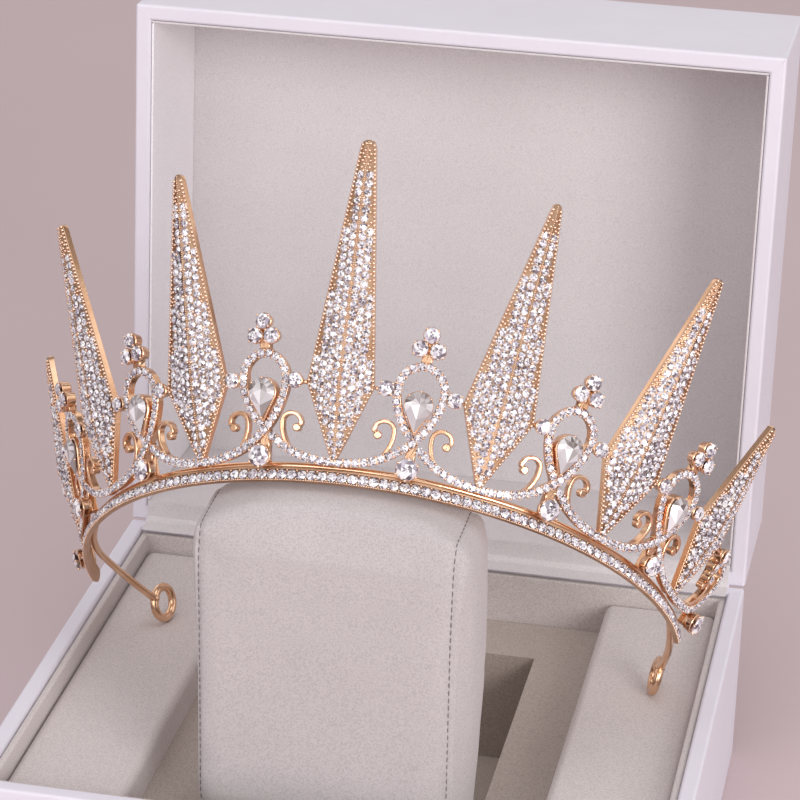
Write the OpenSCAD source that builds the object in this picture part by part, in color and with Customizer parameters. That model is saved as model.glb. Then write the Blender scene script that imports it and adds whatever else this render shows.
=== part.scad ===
// A crown headband set with clear stones, hung over a soft pillow in its open presentation box.
// Origin: centre of the underside of the box. Front of the box towards -Y, +Z up, millimetres.

/* [Head band] */
// Radius of the band, to the outside of its strip
band_r = 75; // [74.5:0.1:75.5]
// Length of the strip along its curve
band_len = 242; // [240:0.5:243]
// Height of the strip
band_h = 3.45; // [3.4:0.05:3.6]
// Thickness of the strip, without the rims of its channel
band_t = 0.5; // [0.5:0.1:0.7]
// Diameter of the stones in the strip
band_stone_d = 2.3; // [2.1:0.05:2.3]
// Number of stones in the strip
band_stone_count = 99; // [90:1:99]
// Diameter of the wire behind the strip
wire_d = 1.8; // [1.7:0.05:1.8]
// Outer diameter of the eyelets at the ends of the wire
eyelet_d = 10.4; // [10:0.1:10.4]
// Thickness of the eyelets, which are heavier than the wire that carries them
eyelet_wire_d = 2.2; // [2:0.05:2.2]

/* [Castings] */
// Angle by which spikes and loops lean outwards from the band
flare = 24.1; // [23:0.1:25]
// Distance between two spikes along the band
spike_pitch = 33.25; // [33:0.05:33.5]
// Thickness of the castings at their sides
cast_t = 2.1; // [2:0.05:2.2]
// Thickness of the spikes at their edges
spike_t = 1.5; // [1.4:0.05:1.7]
// Width of the stone-set ribbons that form a loop
ribbon_w = 1.75; // [1.6:0.05:1.8]
// Width of the plain scrolls
scroll_w = 1.05; // [0.9:0.05:1.2]
// Height of the spikes' shoulders
shoulder_h = 21.5; // [20:0.1:22]
// Height above the strip at which the castings start
foot_h = 2.6; // [2.6:0.05:2.8]

/* [Stones] */
// Diameter of the large round stones on the band
round_stone_d = 5.1; // [4.8:0.1:5.2]
// Diameter of the three stones over a loop
top_stone_d = 3.7; // [3.5:0.1:3.8]
// Diameter of the stones beside a loop
side_stone_d = 3.6; // [3.4:0.1:3.6]
// Width of the pear-shaped stones
pear_w = 6.6; // [6:0.1:6.8]

/* [Box] */
// Width of the box
box_w = 170; // [168:1:172]
// Depth of the box
box_d = 145.6; // [145:0.1:147]
// Height of the lower half
base_h = 50.7; // [50:0.1:51]
// Height of the lid
lid_h = 47.4; // [46:0.1:49]
// Thickness of the walls
wall_t = 4.2; // [4:0.1:4.4]
// Thickness of the floor and of the top of the lid
board_t = 3; // [2.5:0.1:3.2]
// Angle by which the open lid leans back beyond upright
lid_lean = 3.65; // [2:0.05:5]
// Height of the thin inner wall below the rim of the base
liner_drop = 1.1; // [0.8:0.1:1.6]
// Depth of the two platforms below the rim of the base
platform_drop = 5.6; // [5.6:0.05:6]
// Depth of the channel floor below the rim of the base
channel_drop = 15.1; // [14:0.1:16]

/* [Pillow] */
// Width of the pillow above its well
pillow_w = 66.8; // [64.4:0.2:67.4]
// Width of the pillow's foot, which is squeezed into the well
pillow_foot_w = 64.4; // [62:0.2:64.4]
// Thickness of the pillow
pillow_t = 26; // [25:0.5:26.5]

/* [Crown on the pillow] */
// Angle by which the band is tipped back from level
crown_tilt = 49.8; // [49.7:0.05:49.9]
// Turn of the crown on its own axis
crown_turn = -1.68; // [-2:0.01:2]
// Place of the middle of the band, from the centre line of the box
crown_x = -0.4; // [-1:0.1:1]
// Distance of the middle of the band in front of the back of the box
crown_front = 118; // [117.8:0.1:118.2]
// Height of the middle of the band above the rim of the base
crown_rise = 77.3; // [77.3:0.1:77.6]

/* [Hidden] */
PEARS = 6;
SPIKES = [
    // place along the band in pitches, height, half width at the shoulders,
    // how far the tip is bent to the right, and outwards, half width of the blunt tip
    [-3, 52.3, 7.6, 1.0, -1.8, 1.25],
    [-2, 70.7, 8.7, -0.2, 1.1, 1.25],
    [-1, 71.6, 8.6, -0.8, 0.9, 1.25],
    [ 0, 78.0, 7.9, 1.2, 0, 1.8],
    [ 1, 71.6, 8.6, 0, 0, 1.25],
    [ 2, 70.7, 8.7, 0, 0, 1.25],
    [ 3, 52.3, 7.6, 0, 0, 1.25],
];
PLACE = 0;
HEIGHT = 1;
HALF_W = 2;
TIP_RIGHT = 3;
TIP_OUT = 4;
TIP_HALF_W = 5;

// Bends of the two bare arms of the wire, from the band outwards
LEFT_BENDS = [
    // radius, length, tilt of the plane of the bend
    [43, 17, 12],
    [119, 28.8, -16],
];
RIGHT_BENDS = [
    [49, 13.2, -31],
    [84, 31, 25],
];
RADIUS = 0;
LENGTH = 1;
TILT = 2;
LEFT_EYE_TILT = -9;
RIGHT_EYE_TILT = 12;

function numbered(name, count) = [for (i = [1:count]) str(name, "_", i)];

GOLD = "#d8a06a";
CRYSTAL = "#e9e8f0";
WHITE_COVER = "#eeeaf0";
VELVET = "#c9bfba";

seat_gap = 0.1;
shoulder_gap = seat_gap + 0.02;
tab_half_h = 0.45;
round_fn = 48;
cup_fn = 12;

// Depths on the castings, measured outwards from the outside of the strip
cast_front = 0.5;
cast_back = cast_front - cast_t;
spike_back = cast_front - spike_t;
under_step = 0.08;
ridge_rise = 2.0;

// Section of the strip
strip_out = band_r + 0.3;
channel_r = band_r - 0.4;
strip_in = channel_r - band_t;
strip_low = -1.55;
strip_high = strip_low + band_h;
channel_half = band_stone_d / 2 + 0.12;
end_stone_inset = 2.3;

// The wire lies on the upper inner edge of the strip
wire_r = band_r - 1.4;
wire_z = strip_high + seat_gap + wire_d / 2;
arm_start = 75;
// The bare arms get a little thicker from the first bend to the eyelet
arm_end_d = wire_d + 0.2;
wire_sides = 8;
wire_steps = 40;
bend_steps = 5;
eyelet_steps = 24;
// Solder bead where an arm meets its eyelet: distance along the arm, radius
EYE_BEAD = [[-1.4, arm_end_d / 2], [-0.6, 1.4], [0.5, 1.4], [1.1, 0.7]];

// Places on a loop, as [sideways, up] on the flared face
LOOP_SIDE = [5.45, 22.4];
LOOP_RISE = 5.7;
CROSSING = [0.4, 10.6];
TAIL_END = [15.75, foot_h + ribbon_w / 2];
BALL_R = 1.0;
ROUND_SEAT = [0, 4.2];
PEAR_SEAT = [0, 19];
PEAR_POINT = [0.05, 12.4];
TREFOIL = [[-2.05, 32], [2.05, 32], [0, 35.4]];
SIDE_SEAT = [7.9, 21.8];

// Stone cups: wall round the stone, taper towards the back, and how far their fronts stand out
cup_wall = 0.15;
cup_taper = 0.75;
cup_edge = 0.2;
round_cup_front = 2.5;
pear_cup_front = 1.3;
top_cup_front = 1.2;
side_cup_front = 1.1;
small_cup_front = 0.9;
small_cup_back = cast_back + 0.2;
pear_cup_back = cast_back + 0.3;
round_cup_back = 0.1;
post_front = 0.3;

// Places on the right end ornament
END_TOP_SEAT = [-5, 21.4];
END_SMALL_SEATS = [[-5.6, 17.6], [-4.2, 14.9]];
END_SMALL_D = 2.2;

hinge_y = box_d / 2;
hinge_r = 0.9;
liner_t = 1.8;
liner_gap = 0.15;
tray_gap = 0.2;
pad_t = 1.5;
lining_edge = 0.5;
side_lining_t = 0.6;
well_floor_t = 0.8;
tray_board = 3;
platform_inner_x = 49;
hole_half_w = pillow_foot_w / 2 + 0.5;
hole_back = 25;
hole_front = 137;
pillow_y = hinge_y - 116.8;
pillow_top = base_h + crown_rise - 2.1;
pillow_top_bend = 85;
// The pillow stands a little to the left; its foot ends and its full width starts at these depths
pillow_x = -1;
pillow_foot_drop = 12;
pillow_body_drop = 5;

// The point of a Bezier curve with four control points
function bezier(p, t) =
    pow(1 - t, 3) * p[0] + 3 * t * pow(1 - t, 2) * p[1] + 3 * t * t * (1 - t) * p[2] + pow(t, 3) * p[3];
function bezier_path(p, steps) = [for (i = [0:steps]) bezier(p, i / steps)];
function arc_path(centre, rx, ry, from, to, steps) =
    [for (i = [0:steps]) let (a = from + (to - from) * i / steps) centre + [rx * cos(a), ry * sin(a)]];
function mirrored(path) = [for (p = path) [-p[0], p[1]]];
function without_first(path) = [for (i = [1:len(path) - 1]) path[i]];
function joined(a, b) = concat(a, without_first(b));

// Angle along the band at a sideways distance from an arc length
function face_angle(s, tau, h) = (s / band_r + tau / (band_r + h * sin(flare))) * 180 / PI;

// A point on the flared face: arc length, sideways, up and outwards
function face_point(s, tau, h, d) =
    let (a = face_angle(s, tau, h), r = band_r + h * sin(flare) + d * cos(flare))
    [r * sin(a), band_r - r * cos(a), h * cos(flare) - d * sin(flare)];

// Unit vector to the left of a path on the face
function left_of(path, i) =
    let (t = path[min(i + 1, len(path) - 1)] - path[max(i - 1, 0)]) [-t[1], t[0]] / norm(t);

// Puts the finished crown in its place on the pillow
module seat_crown() {
    translate([crown_x, hinge_y - crown_front, base_h + crown_rise])
        rotate([-crown_tilt, 0, 0])
            about_axis(crown_turn)
                children();
}

module about_axis(angle) {
    translate([0, band_r, 0]) rotate([0, 0, angle]) translate([0, -band_r, 0]) children();
}

// Frame on the flared face whose +Z points outwards, +X sideways and +Y up the face
module on_face(s, tau, h) {
    about_axis(face_angle(s, tau, h))
        rotate([flare, 0, 0]) translate([0, 0, h]) rotate([90, 0, 0]) children();
}

// A solid swept along sections of points that all have the same number of corners
module lofted(sections, closed = false) {
    k = len(sections[0]);
    n = len(sections);
    points = [for (section = sections) each section];
    walls = [for (i = [0:closed ? n - 1 : n - 2], j = [0:k - 1])
        let (next = (i + 1) % n, b = (j + 1) % k)
        each [[k * i + j, k * next + j, k * i + b], [k * i + b, k * next + j, k * next + b]]];
    start_cap = [for (j = [0:k - 1]) j];
    end_cap = [for (j = [0:k - 1]) k * n - 1 - j];
    polyhedron(points, closed ? walls : concat([start_cap], walls, [end_cap]));
}

// A ribbon of metal on the flared face, along a path of [sideways, up] points
module ribbon(s, path, width, front = cast_front) {
    corners = [[-1, cast_back], [1, cast_back], [1, front], [-1, front]];
    lofted([for (i = [0:len(path) - 1]) [for (c = corners)
        let (p = path[i] + left_of(path, i) * c[0] * width / 2) face_point(s, p[0], p[1], c[1])]]);
}

// A tapered stone cup on the flared face
module cup(s, seat, r, back, front) {
    hull() {
        on_face(s, seat[0], seat[1])
            translate([0, 0, back]) cylinder(h = cup_edge, r = r * cup_taper, $fn = cup_fn);
        on_face(s, seat[0], seat[1])
            translate([0, 0, front - cup_edge]) cylinder(h = cup_edge, r = r, $fn = cup_fn);
    }
}

// A short flat disc that ends a scroll
module curl(s, seat) {
    on_face(s, seat[0], seat[1])
        translate([0, 0, cast_back]) cylinder(h = cast_t - under_step, r = BALL_R, $fn = 10);
}

// A rectangular link on the flared face
module link(s, low, high, front = cast_front - under_step) {
    middle = (low + high) / 2;
    size = high - low;
    on_face(s, middle[0], middle[1])
        translate([-size[0] / 2, -size[1] / 2, cast_back]) cube([size[0], size[1], front - cast_back]);
}

// A cut stone with a table, from its outline; its girdle lies in the plane z = 0
module cut_stone(outline, table, crown_h, depth, base = 0.75) {
    lofted([
        [for (p = outline) [p[0] * base, p[1] * base, -depth]],
        [for (p = outline) [p[0], p[1], 0]],
        [for (p = outline) [p[0] * table, p[1] * table, crown_h]],
    ]);
}

// A small round stone that comes to a point below
module pointed_stone(d, sides, crown_h, depth) {
    n = sides;
    girdle = round_outline(d, n);
    points = concat([[0, 0, -depth]],
        [for (p = girdle) [p[0], p[1], 0]], [for (p = girdle) [p[0] * 0.6, p[1] * 0.6, crown_h]]);
    below = [for (j = [0:n - 1]) [0, 1 + j, 1 + (j + 1) % n]];
    above = [for (j = [0:n - 1]) let (a = 1 + j, b = 1 + (j + 1) % n) [a, a + n, b + n, b]];
    polyhedron(points, concat(below, above, [[for (j = [0:n - 1]) 2 * n - j]]));
}

// Outlines run clockwise as seen from the table
function round_outline(d, sides) =
    [for (i = [0:sides - 1]) let (a = -360 * (i + 0.5) / sides) [cos(a), sin(a)] * d / 2];

// A pear outline with its point at the bottom, round end of radius r around the origin
function pear_outline(r, point_drop, round_steps) =
    let (lean = asin(r / point_drop))
    concat([[0, -point_drop]],
        [for (i = [0:round_steps])
            let (a = 180 + lean - i * (180 + 2 * lean) / round_steps) [cos(a), sin(a)] * r]);

module round_stone_on(s, seat, d, floor, sides) {
    crown_h = 0.14 * d;
    depth = 0.12 * d;
    on_face(s, seat[0], seat[1])
        translate([0, 0, floor + seat_gap + depth]) cut_stone(round_outline(d, sides), 0.6, crown_h, depth);
}

// Head band

module band() {
    sweep = (band_len - band_h) / band_r * 180 / PI;
    stone_sweep = (band_len - 2 * end_stone_inset + 2 * channel_half) / band_r * 180 / PI;
    end_inset = 0.05;
    end_t = strip_out - strip_in - 2 * end_inset;
    color(GOLD) seat_crown() difference() {
        union() {
            band_ring(sweep, strip_in, strip_out, strip_low, strip_high);
            for (side = [-1, 1])
                about_axis(side * sweep / 2)
                    translate([0, band_r - strip_in - end_inset, (strip_low + strip_high) / 2])
                        rotate([90, 0, 0]) cylinder(h = end_t, r = band_h / 2, $fn = round_fn);
        }
        band_ring(stone_sweep, channel_r, strip_out + 1, -channel_half, channel_half);
    }
}

module band_ring(sweep, r_in, r_out, low, high) {
    translate([0, band_r, 0]) rotate([0, 0, -90 - sweep / 2])
        rotate_extrude(angle = sweep, $fn = 180)
            polygon([[r_in, low], [r_out, low], [r_out, high], [r_in, high]]);
}

module band_stones() {
    reach = band_len / 2 - end_stone_inset;
    step = 2 * reach / (band_stone_count - 1);
    girdle_out = 0.3;
    stone_crown = 0.45;
    stone_depth = 0.55;
    color(CRYSTAL) seat_crown()
        for (i = [0:band_stone_count - 1])
            about_axis((i * step - reach) / band_r * 180 / PI)
                rotate([90, 0, 0]) translate([0, 0, girdle_out])
                    pointed_stone(band_stone_d, 6, stone_crown, stone_depth);
}

// A frame on the wire is [place, forwards, inwards, up]
PLACE_AT = 0;
FORWARDS = 1;
INWARDS = 2;
UP = 3;

function band_frame(a) = [
    [wire_r * sin(a), band_r - wire_r * cos(a), wire_z],
    [cos(a), sin(a), 0], [-sin(a), cos(a), 0], [0, 0, 1]];

// Turns a frame about its own forwards direction
function tilted(f, a) =
    [f[PLACE_AT], f[FORWARDS], cos(a) * f[INWARDS] + sin(a) * f[UP], cos(a) * f[UP] - sin(a) * f[INWARDS]];

// Moves a frame forwards round a bend of radius r
function moved_round(f, r, a) = [
    f[PLACE_AT] + r * sin(a) * f[FORWARDS] + r * (1 - cos(a)) * f[INWARDS],
    cos(a) * f[FORWARDS] + sin(a) * f[INWARDS], cos(a) * f[INWARDS] - sin(a) * f[FORWARDS], f[UP]];
function moved_on(f, distance) =
    [f[PLACE_AT] + distance * f[FORWARDS], f[FORWARDS], f[INWARDS], f[UP]];

// The frame at a part, from 0 to 1, of a bend that starts at frame f
function bend_frame(f, bend, part) =
    let (turn = bend[LENGTH] / bend[RADIUS] * 180 / PI * part)
    tilted(moved_round(tilted(f, bend[TILT]), bend[RADIUS], turn), -bend[TILT]);

// End of a bare arm, after all of its bends
function arm_end(bends) = bend_frame(bend_frame(band_frame(arm_start), bends[0], 1), bends[1], 1);

// Frames along a bare arm, short of its solder bead
function arm_frames(bends) =
    let (first = band_frame(arm_start), second = bend_frame(first, bends[0], 1))
    let (last = 1 + EYE_BEAD[0][0] / bends[1][LENGTH])
    concat([for (i = [1:bend_steps]) bend_frame(first, bends[0], i / bend_steps)],
        [for (i = [1:bend_steps]) bend_frame(second, bends[1], last * i / bend_steps)]);

function mirrored_x(p) = [-p[0], p[1], p[2]];
function reversed(list) = [for (i = [len(list) - 1:-1:0]) list[i]];

// Corners of the wire's section at a frame
function wire_section(f, r = wire_d / 2) =
    [for (i = [0:wire_sides - 1])
        let (a = 360 * i / wire_sides) f[PLACE_AT] + r * (cos(a) * f[UP] - sin(a) * f[INWARDS])];
function arm_r(i) = (wire_d + (arm_end_d - wire_d) * max(0, i + 1 - bend_steps) / bend_steps) / 2;
function arm_sections(bends) = let (frames = arm_frames(bends)) concat(
    [for (i = [0:len(frames) - 1]) wire_section(frames[i], arm_r(i))],
    [for (i = [1:len(EYE_BEAD) - 1]) wire_section(moved_on(arm_end(bends), EYE_BEAD[i][0]), EYE_BEAD[i][1])]);

module head_wire() {
    left_arm = [for (section = arm_sections(LEFT_BENDS)) [for (p = section) mirrored_x(p)]];
    round_head = [for (i = [0:wire_steps]) wire_section(band_frame(arm_start * (2 * i / wire_steps - 1)))];
    color(GOLD) seat_crown() union() {
        lofted(concat(reversed(left_arm), round_head, arm_sections(RIGHT_BENDS)));
        mirror([1, 0, 0]) eyelet(arm_end(LEFT_BENDS), LEFT_EYE_TILT);
        eyelet(arm_end(RIGHT_BENDS), RIGHT_EYE_TILT);
    }
}

// A ring of wire that starts where an arm ends
module eyelet(f, eye_tilt) {
    eye_r = (eyelet_d - eyelet_wire_d) / 2;
    r = eyelet_wire_d / 2;
    across = cos(eye_tilt) * f[FORWARDS] - sin(eye_tilt) * f[UP];
    along = sin(eye_tilt) * f[FORWARDS] + cos(eye_tilt) * f[UP];
    middle = f[PLACE_AT] + eye_r * across;
    lofted([for (i = [0:eyelet_steps - 1])
        let (turn = 360 * i / eyelet_steps, outwards = -cos(turn) * across - sin(turn) * along)
        [for (j = [0:wire_sides - 1])
            let (a = 360 * (j + 0.5) / wire_sides)
            middle + (eye_r + r * cos(a)) * outwards + r * sin(a) * f[INWARDS]]],
        closed = true);
}

// Spikes

module spike(i) {
    row = SPIKES[i];
    s = row[PLACE] * spike_pitch;
    h = row[HEIGHT];
    w = row[HALF_W];
    sections = [
        // height, half width, how far the ridge stands out
        [foot_h, 0.65, 0],
        [foot_h + 1.6, 0.75, 0.1],
        [shoulder_h, w, ridge_rise],
        [h - 1.6, row[TIP_HALF_W], 0.6],
        [h - 0.4, 0.75 * row[TIP_HALF_W], 0.4],
        [h, 0.3 * row[TIP_HALF_W], 0.1],
    ];
    // the tip is bent from the shoulders up
    bent = function (c) max(0, c[0] - shoulder_h) / (h - shoulder_h);
    place = function (c, tau, d)
        face_point(s, tau + bent(c) * row[TIP_RIGHT], c[0], d + bent(c) * row[TIP_OUT]);
    color(GOLD) seat_crown()
        lofted([for (c = sections) [
            place(c, -c[1], spike_back),
            place(c, -c[1], cast_front),
            place(c, 0, cast_front + c[2]),
            place(c, c[1], cast_front),
            place(c, c[1], spike_back),
        ]]);
}

// Loops

function loop_place(k) = (k - (PEARS - 1) / 2) * spike_pitch;

// Sideways distance from a loop to the shoulder of the spike beside it
function shoulder_reach(i) =
    spike_pitch / 2 * (band_r + shoulder_h * sin(flare)) / band_r - SPIKES[i][HALF_W];

module loop(k) {
    s = loop_place(k);
    half_w = LOOP_SIDE[0];
    tail_z = TAIL_END[1];
    top = arc_path([0, LOOP_SIDE[1]], half_w, LOOP_RISE, 180, 0, 12);
    right_side = bezier_path([LOOP_SIDE, [half_w, 18.5], [2.9, 13.5], CROSSING], 8);
    left_tail = bezier_path([CROSSING, [-2.6, 7.6], [-6.5, tail_z + 0.2], [-TAIL_END[0], tail_z]], 8);
    left_side = bezier_path([[-half_w, LOOP_SIDE[1] + 0.6], [-half_w, 19], [-3.2, 14.2], CROSSING], 8);
    right_tail = bezier_path([[1.9, 9], [4.5, 6.6], [8.5, tail_z + 0.2], TAIL_END], 7);
    side_cup_r = (side_stone_d + cup_wall) / 2;
    color(GOLD) seat_crown() union() {
        ribbon(s, joined(joined(top, right_side), left_tail), ribbon_w);
        ribbon(s, left_side, ribbon_w, cast_front - under_step);
        ribbon(s, right_tail, ribbon_w, cast_front - under_step);
        for (side = [-1, 1]) {
            loop_scroll(s, side);
            cup(s, [side * SIDE_SEAT[0], SIDE_SEAT[1]], side_cup_r, small_cup_back, side_cup_front);
        }
        shoulder_tab(s, -1, shoulder_reach(k));
        shoulder_tab(s, 1, shoulder_reach(k + 1));
        for (seat = TREFOIL)
            cup(s, seat, top_stone_d / 2 + cup_wall, small_cup_back, top_cup_front);
        link(s, [-1.3, 27.6], [1.3, 33.6]);
        cup(s, ROUND_SEAT, round_stone_d / 2 + cup_wall, round_cup_back, round_cup_front);
        round_post(s);
        pear_cup(s);
    }
}

// Post that carries the cup of a large round stone
module round_post(s) {
    link(s, [-1, foot_h], [1.4, 10.2], post_front);
}

module pear_cup(s) {
    depth = pear_cup_front - pear_cup_back;
    point_r = 0.4;
    hull() {
        on_face(s, PEAR_SEAT[0], PEAR_SEAT[1])
            translate([0, 0, pear_cup_back]) cylinder(h = depth, r = pear_w / 2 + cup_wall, $fn = 20);
        on_face(s, PEAR_POINT[0], PEAR_POINT[1])
            translate([0, 0, pear_cup_back]) cylinder(h = depth, r = point_r, $fn = 8);
    }
}

module loop_scroll(s, side) {
    rise = bezier_path([[6.2, 6], [5, 8], [4.1, 10], [4.4, 12.2]], 4);
    over = arc_path([6.75, 12.2], 2.35, 2.15, 180, -20, 8);
    path = joined(rise, over);
    ribbon(s, side > 0 ? path : mirrored(path), scroll_w, cast_front - 2 * under_step);
    curl(s, [side * 8.05, 10.95]);
}

// Small tab from the stone beside a loop to the shoulder of the spike
module shoulder_tab(s, side, reach) {
    inner = SIDE_SEAT[0] + 1;
    outer = reach - shoulder_gap;
    half = (outer - inner) / 2;
    middle = side * (inner + outer) / 2;
    if (outer > inner)
        link(s, [middle - half, shoulder_h - tab_half_h], [middle + half, shoulder_h + tab_half_h]);
}

// End ornaments, drawn for the right end

function end_place() = PEARS / 2 * spike_pitch + spike_pitch / 2;

module end_ornament(side) {
    s = end_place();
    outer_sweep = joined(
        bezier_path([[-TAIL_END[0], TAIL_END[1]], [-9, TAIL_END[1]], [-4, 4.4], [-1.2, 7.4]], 8),
        bezier_path([[-1.2, 7.4], [1.2, 10.2], [4.6, 14.8], [4.5, 18.2]], 7));
    top_curl = arc_path([0.2, 18.2], 4.3, 2.9, 0, 150, 6);
    inner_rise = bezier_path([[-9.5, 4], [-6, 4.6], [-1.5, 9], [-0.5, 13]], 6);
    inner_hook = arc_path([-2.4, 13], 1.9, 1.9, 0, 150, 5);
    color(GOLD) seat_crown() mirror([side < 0 ? 1 : 0, 0, 0]) union() {
        ribbon(s, joined(outer_sweep, top_curl), ribbon_w);
        ribbon(s, joined(inner_rise, inner_hook), scroll_w, cast_front - under_step);
        curl(s, [-3.9, 12.6]);
        cup(s, END_TOP_SEAT, top_stone_d / 2 + cup_wall, small_cup_back, top_cup_front);
        for (seat = END_SMALL_SEATS)
            cup(s, seat, END_SMALL_D / 2 + cup_wall, small_cup_back, small_cup_front);
        cup(s, ROUND_SEAT, round_stone_d / 2 + cup_wall, round_cup_back, round_cup_front);
        link(s, [-1.4, foot_h], [1, 7.6], post_front);
        end_stem(s);
        shoulder_tab_end(s);
    }
}

// Stem under the small stones of an end ornament, from the hook up to the top stone
module end_stem(s) {
    stem_bar(s, [-3.6, 13], [-4.2, 14.6]);
    stem_bar(s, [-4.2, 14.4], [-5.6, 18.4]);
    stem_bar(s, [-5.6, 18.2], [-5, 21]);
}

module stem_bar(s, low, high) {
    stem_r = 0.55;
    hull()
        for (end = [low, high])
            on_face(s, end[0], end[1])
                translate([0, 0, cast_back + 0.1]) cylinder(h = cast_t - 0.4, r = stem_r, $fn = 8);
}

// Bar from the top stone of an end ornament to the shoulder of the outer spike
module shoulder_tab_end(s) {
    shoulder = -shoulder_reach(len(SPIKES) - 1) + shoulder_gap;
    low = shoulder_h - 0.6;
    high = shoulder_h + 0.6;
    hull() {
        link(s, [shoulder, low], [shoulder + 0.4, high]);
        link(s, [END_TOP_SEAT[0] - 1, low], [END_TOP_SEAT[0], high]);
    }
}

// Stones

module pear_stone(k) {
    outline = pear_outline(pear_w / 2, PEAR_SEAT[1] - PEAR_POINT[1] - 0.4, 14);
    crown_h = 0.9;
    depth = 0.5;
    color(CRYSTAL) seat_crown() on_face(loop_place(k), PEAR_SEAT[0], PEAR_SEAT[1])
        translate([0, 0, pear_cup_front + seat_gap + depth]) cut_stone(outline, 0.55, crown_h, depth, 0.85);
}

module round_stone(k) {
    place = (k - (PEARS + 1) / 2) * spike_pitch;
    color(CRYSTAL) seat_crown() round_stone_on(place, ROUND_SEAT, round_stone_d, round_cup_front, 12);
}

module top_stones(k) {
    color(CRYSTAL) seat_crown()
        for (seat = TREFOIL)
            round_stone_on(loop_place(k), seat, top_stone_d, top_cup_front, 8);
}

module side_stones(k) {
    color(CRYSTAL) seat_crown()
        for (side = [-1, 1]) {
            seat = [side * SIDE_SEAT[0], SIDE_SEAT[1]];
            round_stone_on(loop_place(k), seat, side_stone_d, side_cup_front, 8);
        }
}

module end_stones(side) {
    color(CRYSTAL) seat_crown() mirror([side < 0 ? 1 : 0, 0, 0]) {
        round_stone_on(end_place(), END_TOP_SEAT, top_stone_d, top_cup_front, 8);
        for (seat = END_SMALL_SEATS)
            round_stone_on(end_place(), seat, END_SMALL_D, small_cup_front, 8);
    }
}

// Box

module box_base() {
    color(WHITE_COVER) difference() {
        translate([-box_w / 2, -box_d / 2, 0]) cube([box_w, box_d, base_h]);
        translate([-box_w / 2 + wall_t, -box_d / 2 + wall_t, board_t])
            cube([box_w - 2 * wall_t, box_d - 2 * wall_t, base_h]);
        hinge_groove();
    }
}

// Round groove that the hinge fold lies in
module hinge_groove() {
    translate([-box_w / 2 - 1, hinge_y, base_h]) rotate([0, 90, 0])
        cylinder(h = box_w + 2, r = hinge_r + 0.2, $fn = round_fn);
}

module hinge_fold() {
    length = box_w - 2 * wall_t;
    color(WHITE_COVER) translate([-length / 2, hinge_y, base_h]) rotate([0, 90, 0])
        cylinder(h = length, r = hinge_r, $fn = round_fn);
}

// Thin inner wall that stands up inside the base
module base_liner() {
    inset = wall_t + liner_gap;
    height = base_h - liner_drop - board_t - seat_gap;
    color(VELVET) difference() {
        inner_block(inset, board_t + seat_gap, height);
        inner_block(inset + liner_t, board_t, height + 1);
    }
}

module inner_block(inset, z, height) {
    translate([-box_w / 2 + inset, -box_d / 2 + inset, z])
        cube([box_w - 2 * inset, box_d - 2 * inset, height]);
}

// The padded insert: two platforms, and a channel between them with the well for the pillow
module tray() {
    inset = wall_t + liner_gap + liner_t + tray_gap;
    outer_x = box_w / 2 - inset;
    length = box_d - 2 * inset;
    foot_z = board_t + seat_gap;
    channel_z = base_h - channel_drop;
    well_half_w = hole_half_w + tray_board;
    well_back = hinge_y - hole_back + tray_board;
    color(VELVET) difference() {
        union() {
            for (side = [-1, 1])
                translate([0, length / 2, 0]) rotate([90, 0, 0]) linear_extrude(length)
                    platform_section(side, outer_x, foot_z);
            translate([-platform_inner_x, -length / 2, channel_z - tray_board])
                cube([2 * platform_inner_x, length, tray_board]);
            translate([-well_half_w, -length / 2, foot_z])
                cube([2 * well_half_w, well_back + length / 2, channel_z - foot_z]);
        }
        translate([-hole_half_w, hinge_y - hole_front, foot_z + well_floor_t])
            cube([2 * hole_half_w, hole_front - hole_back, channel_z]);
    }
}

// Section of one platform: a folded board with rounded upper edges, open below
module platform_section(side, outer_x, foot_z) {
    top_z = base_h - platform_drop;
    edge = 2.5;
    left = side > 0 ? platform_inner_x : -outer_x;
    width = outer_x - platform_inner_x;
    difference() {
        union() {
            translate([left, foot_z]) square([width, top_z - edge - foot_z]);
            translate([left + edge, foot_z]) square([width - 2 * edge, top_z - foot_z]);
            for (x = [left + edge, left + width - edge])
                translate([x, top_z - edge]) circle(r = edge, $fn = round_fn);
        }
        translate([left + tray_board, foot_z - 1])
            square([width - 2 * tray_board, top_z - foot_z - tray_board + 1]);
    }
}

// The soft stand: upright, its top rounded from front to back and falling to both sides
module pillow() {
    foot_z = board_t + 2 * seat_gap + well_floor_t;
    reach = pillow_w / 2 + abs(pillow_x) + 1;
    color(VELVET) intersection() {
        translate([-reach, 0, 0]) rotate([90, 0, 90]) linear_extrude(2 * reach) pillow_side(foot_z);
        translate([0, pillow_y + pillow_t, 0])
            rotate([90, 0, 0]) linear_extrude(2 * pillow_t) pillow_front(foot_z);
    }
}

module pillow_side(foot_z) {
    r = pillow_t / 2;
    translate([pillow_y, pillow_top - r]) circle(r = r, $fn = round_fn);
    translate([pillow_y - r, foot_z]) square([pillow_t, pillow_top - r - foot_z]);
}

module pillow_front(foot_z) {
    corner = 6;
    foot_top = base_h - pillow_foot_drop;
    body_z = base_h - pillow_body_drop;
    translate([-pillow_foot_w / 2, foot_z]) square([pillow_foot_w, foot_top - foot_z]);
    polygon([
        [-pillow_foot_w / 2, foot_top], [pillow_foot_w / 2, foot_top],
        [pillow_x + pillow_w / 2, body_z], [pillow_x - pillow_w / 2, body_z]]);
    translate([pillow_x, 0]) intersection() {
        translate([0, pillow_top - pillow_top_bend]) circle(r = pillow_top_bend, $fn = 180);
        union() {
            translate([-pillow_w / 2, body_z]) square([pillow_w, pillow_top - body_z - 2 * corner]);
            translate([-pillow_w / 2 + corner, body_z]) square([pillow_w - 2 * corner, pillow_top - body_z]);
            for (side = [-1, 1])
                translate([side * (pillow_w / 2 - corner), pillow_top - 2 * corner])
                    circle(r = corner, $fn = round_fn);
        }
    }
}

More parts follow.
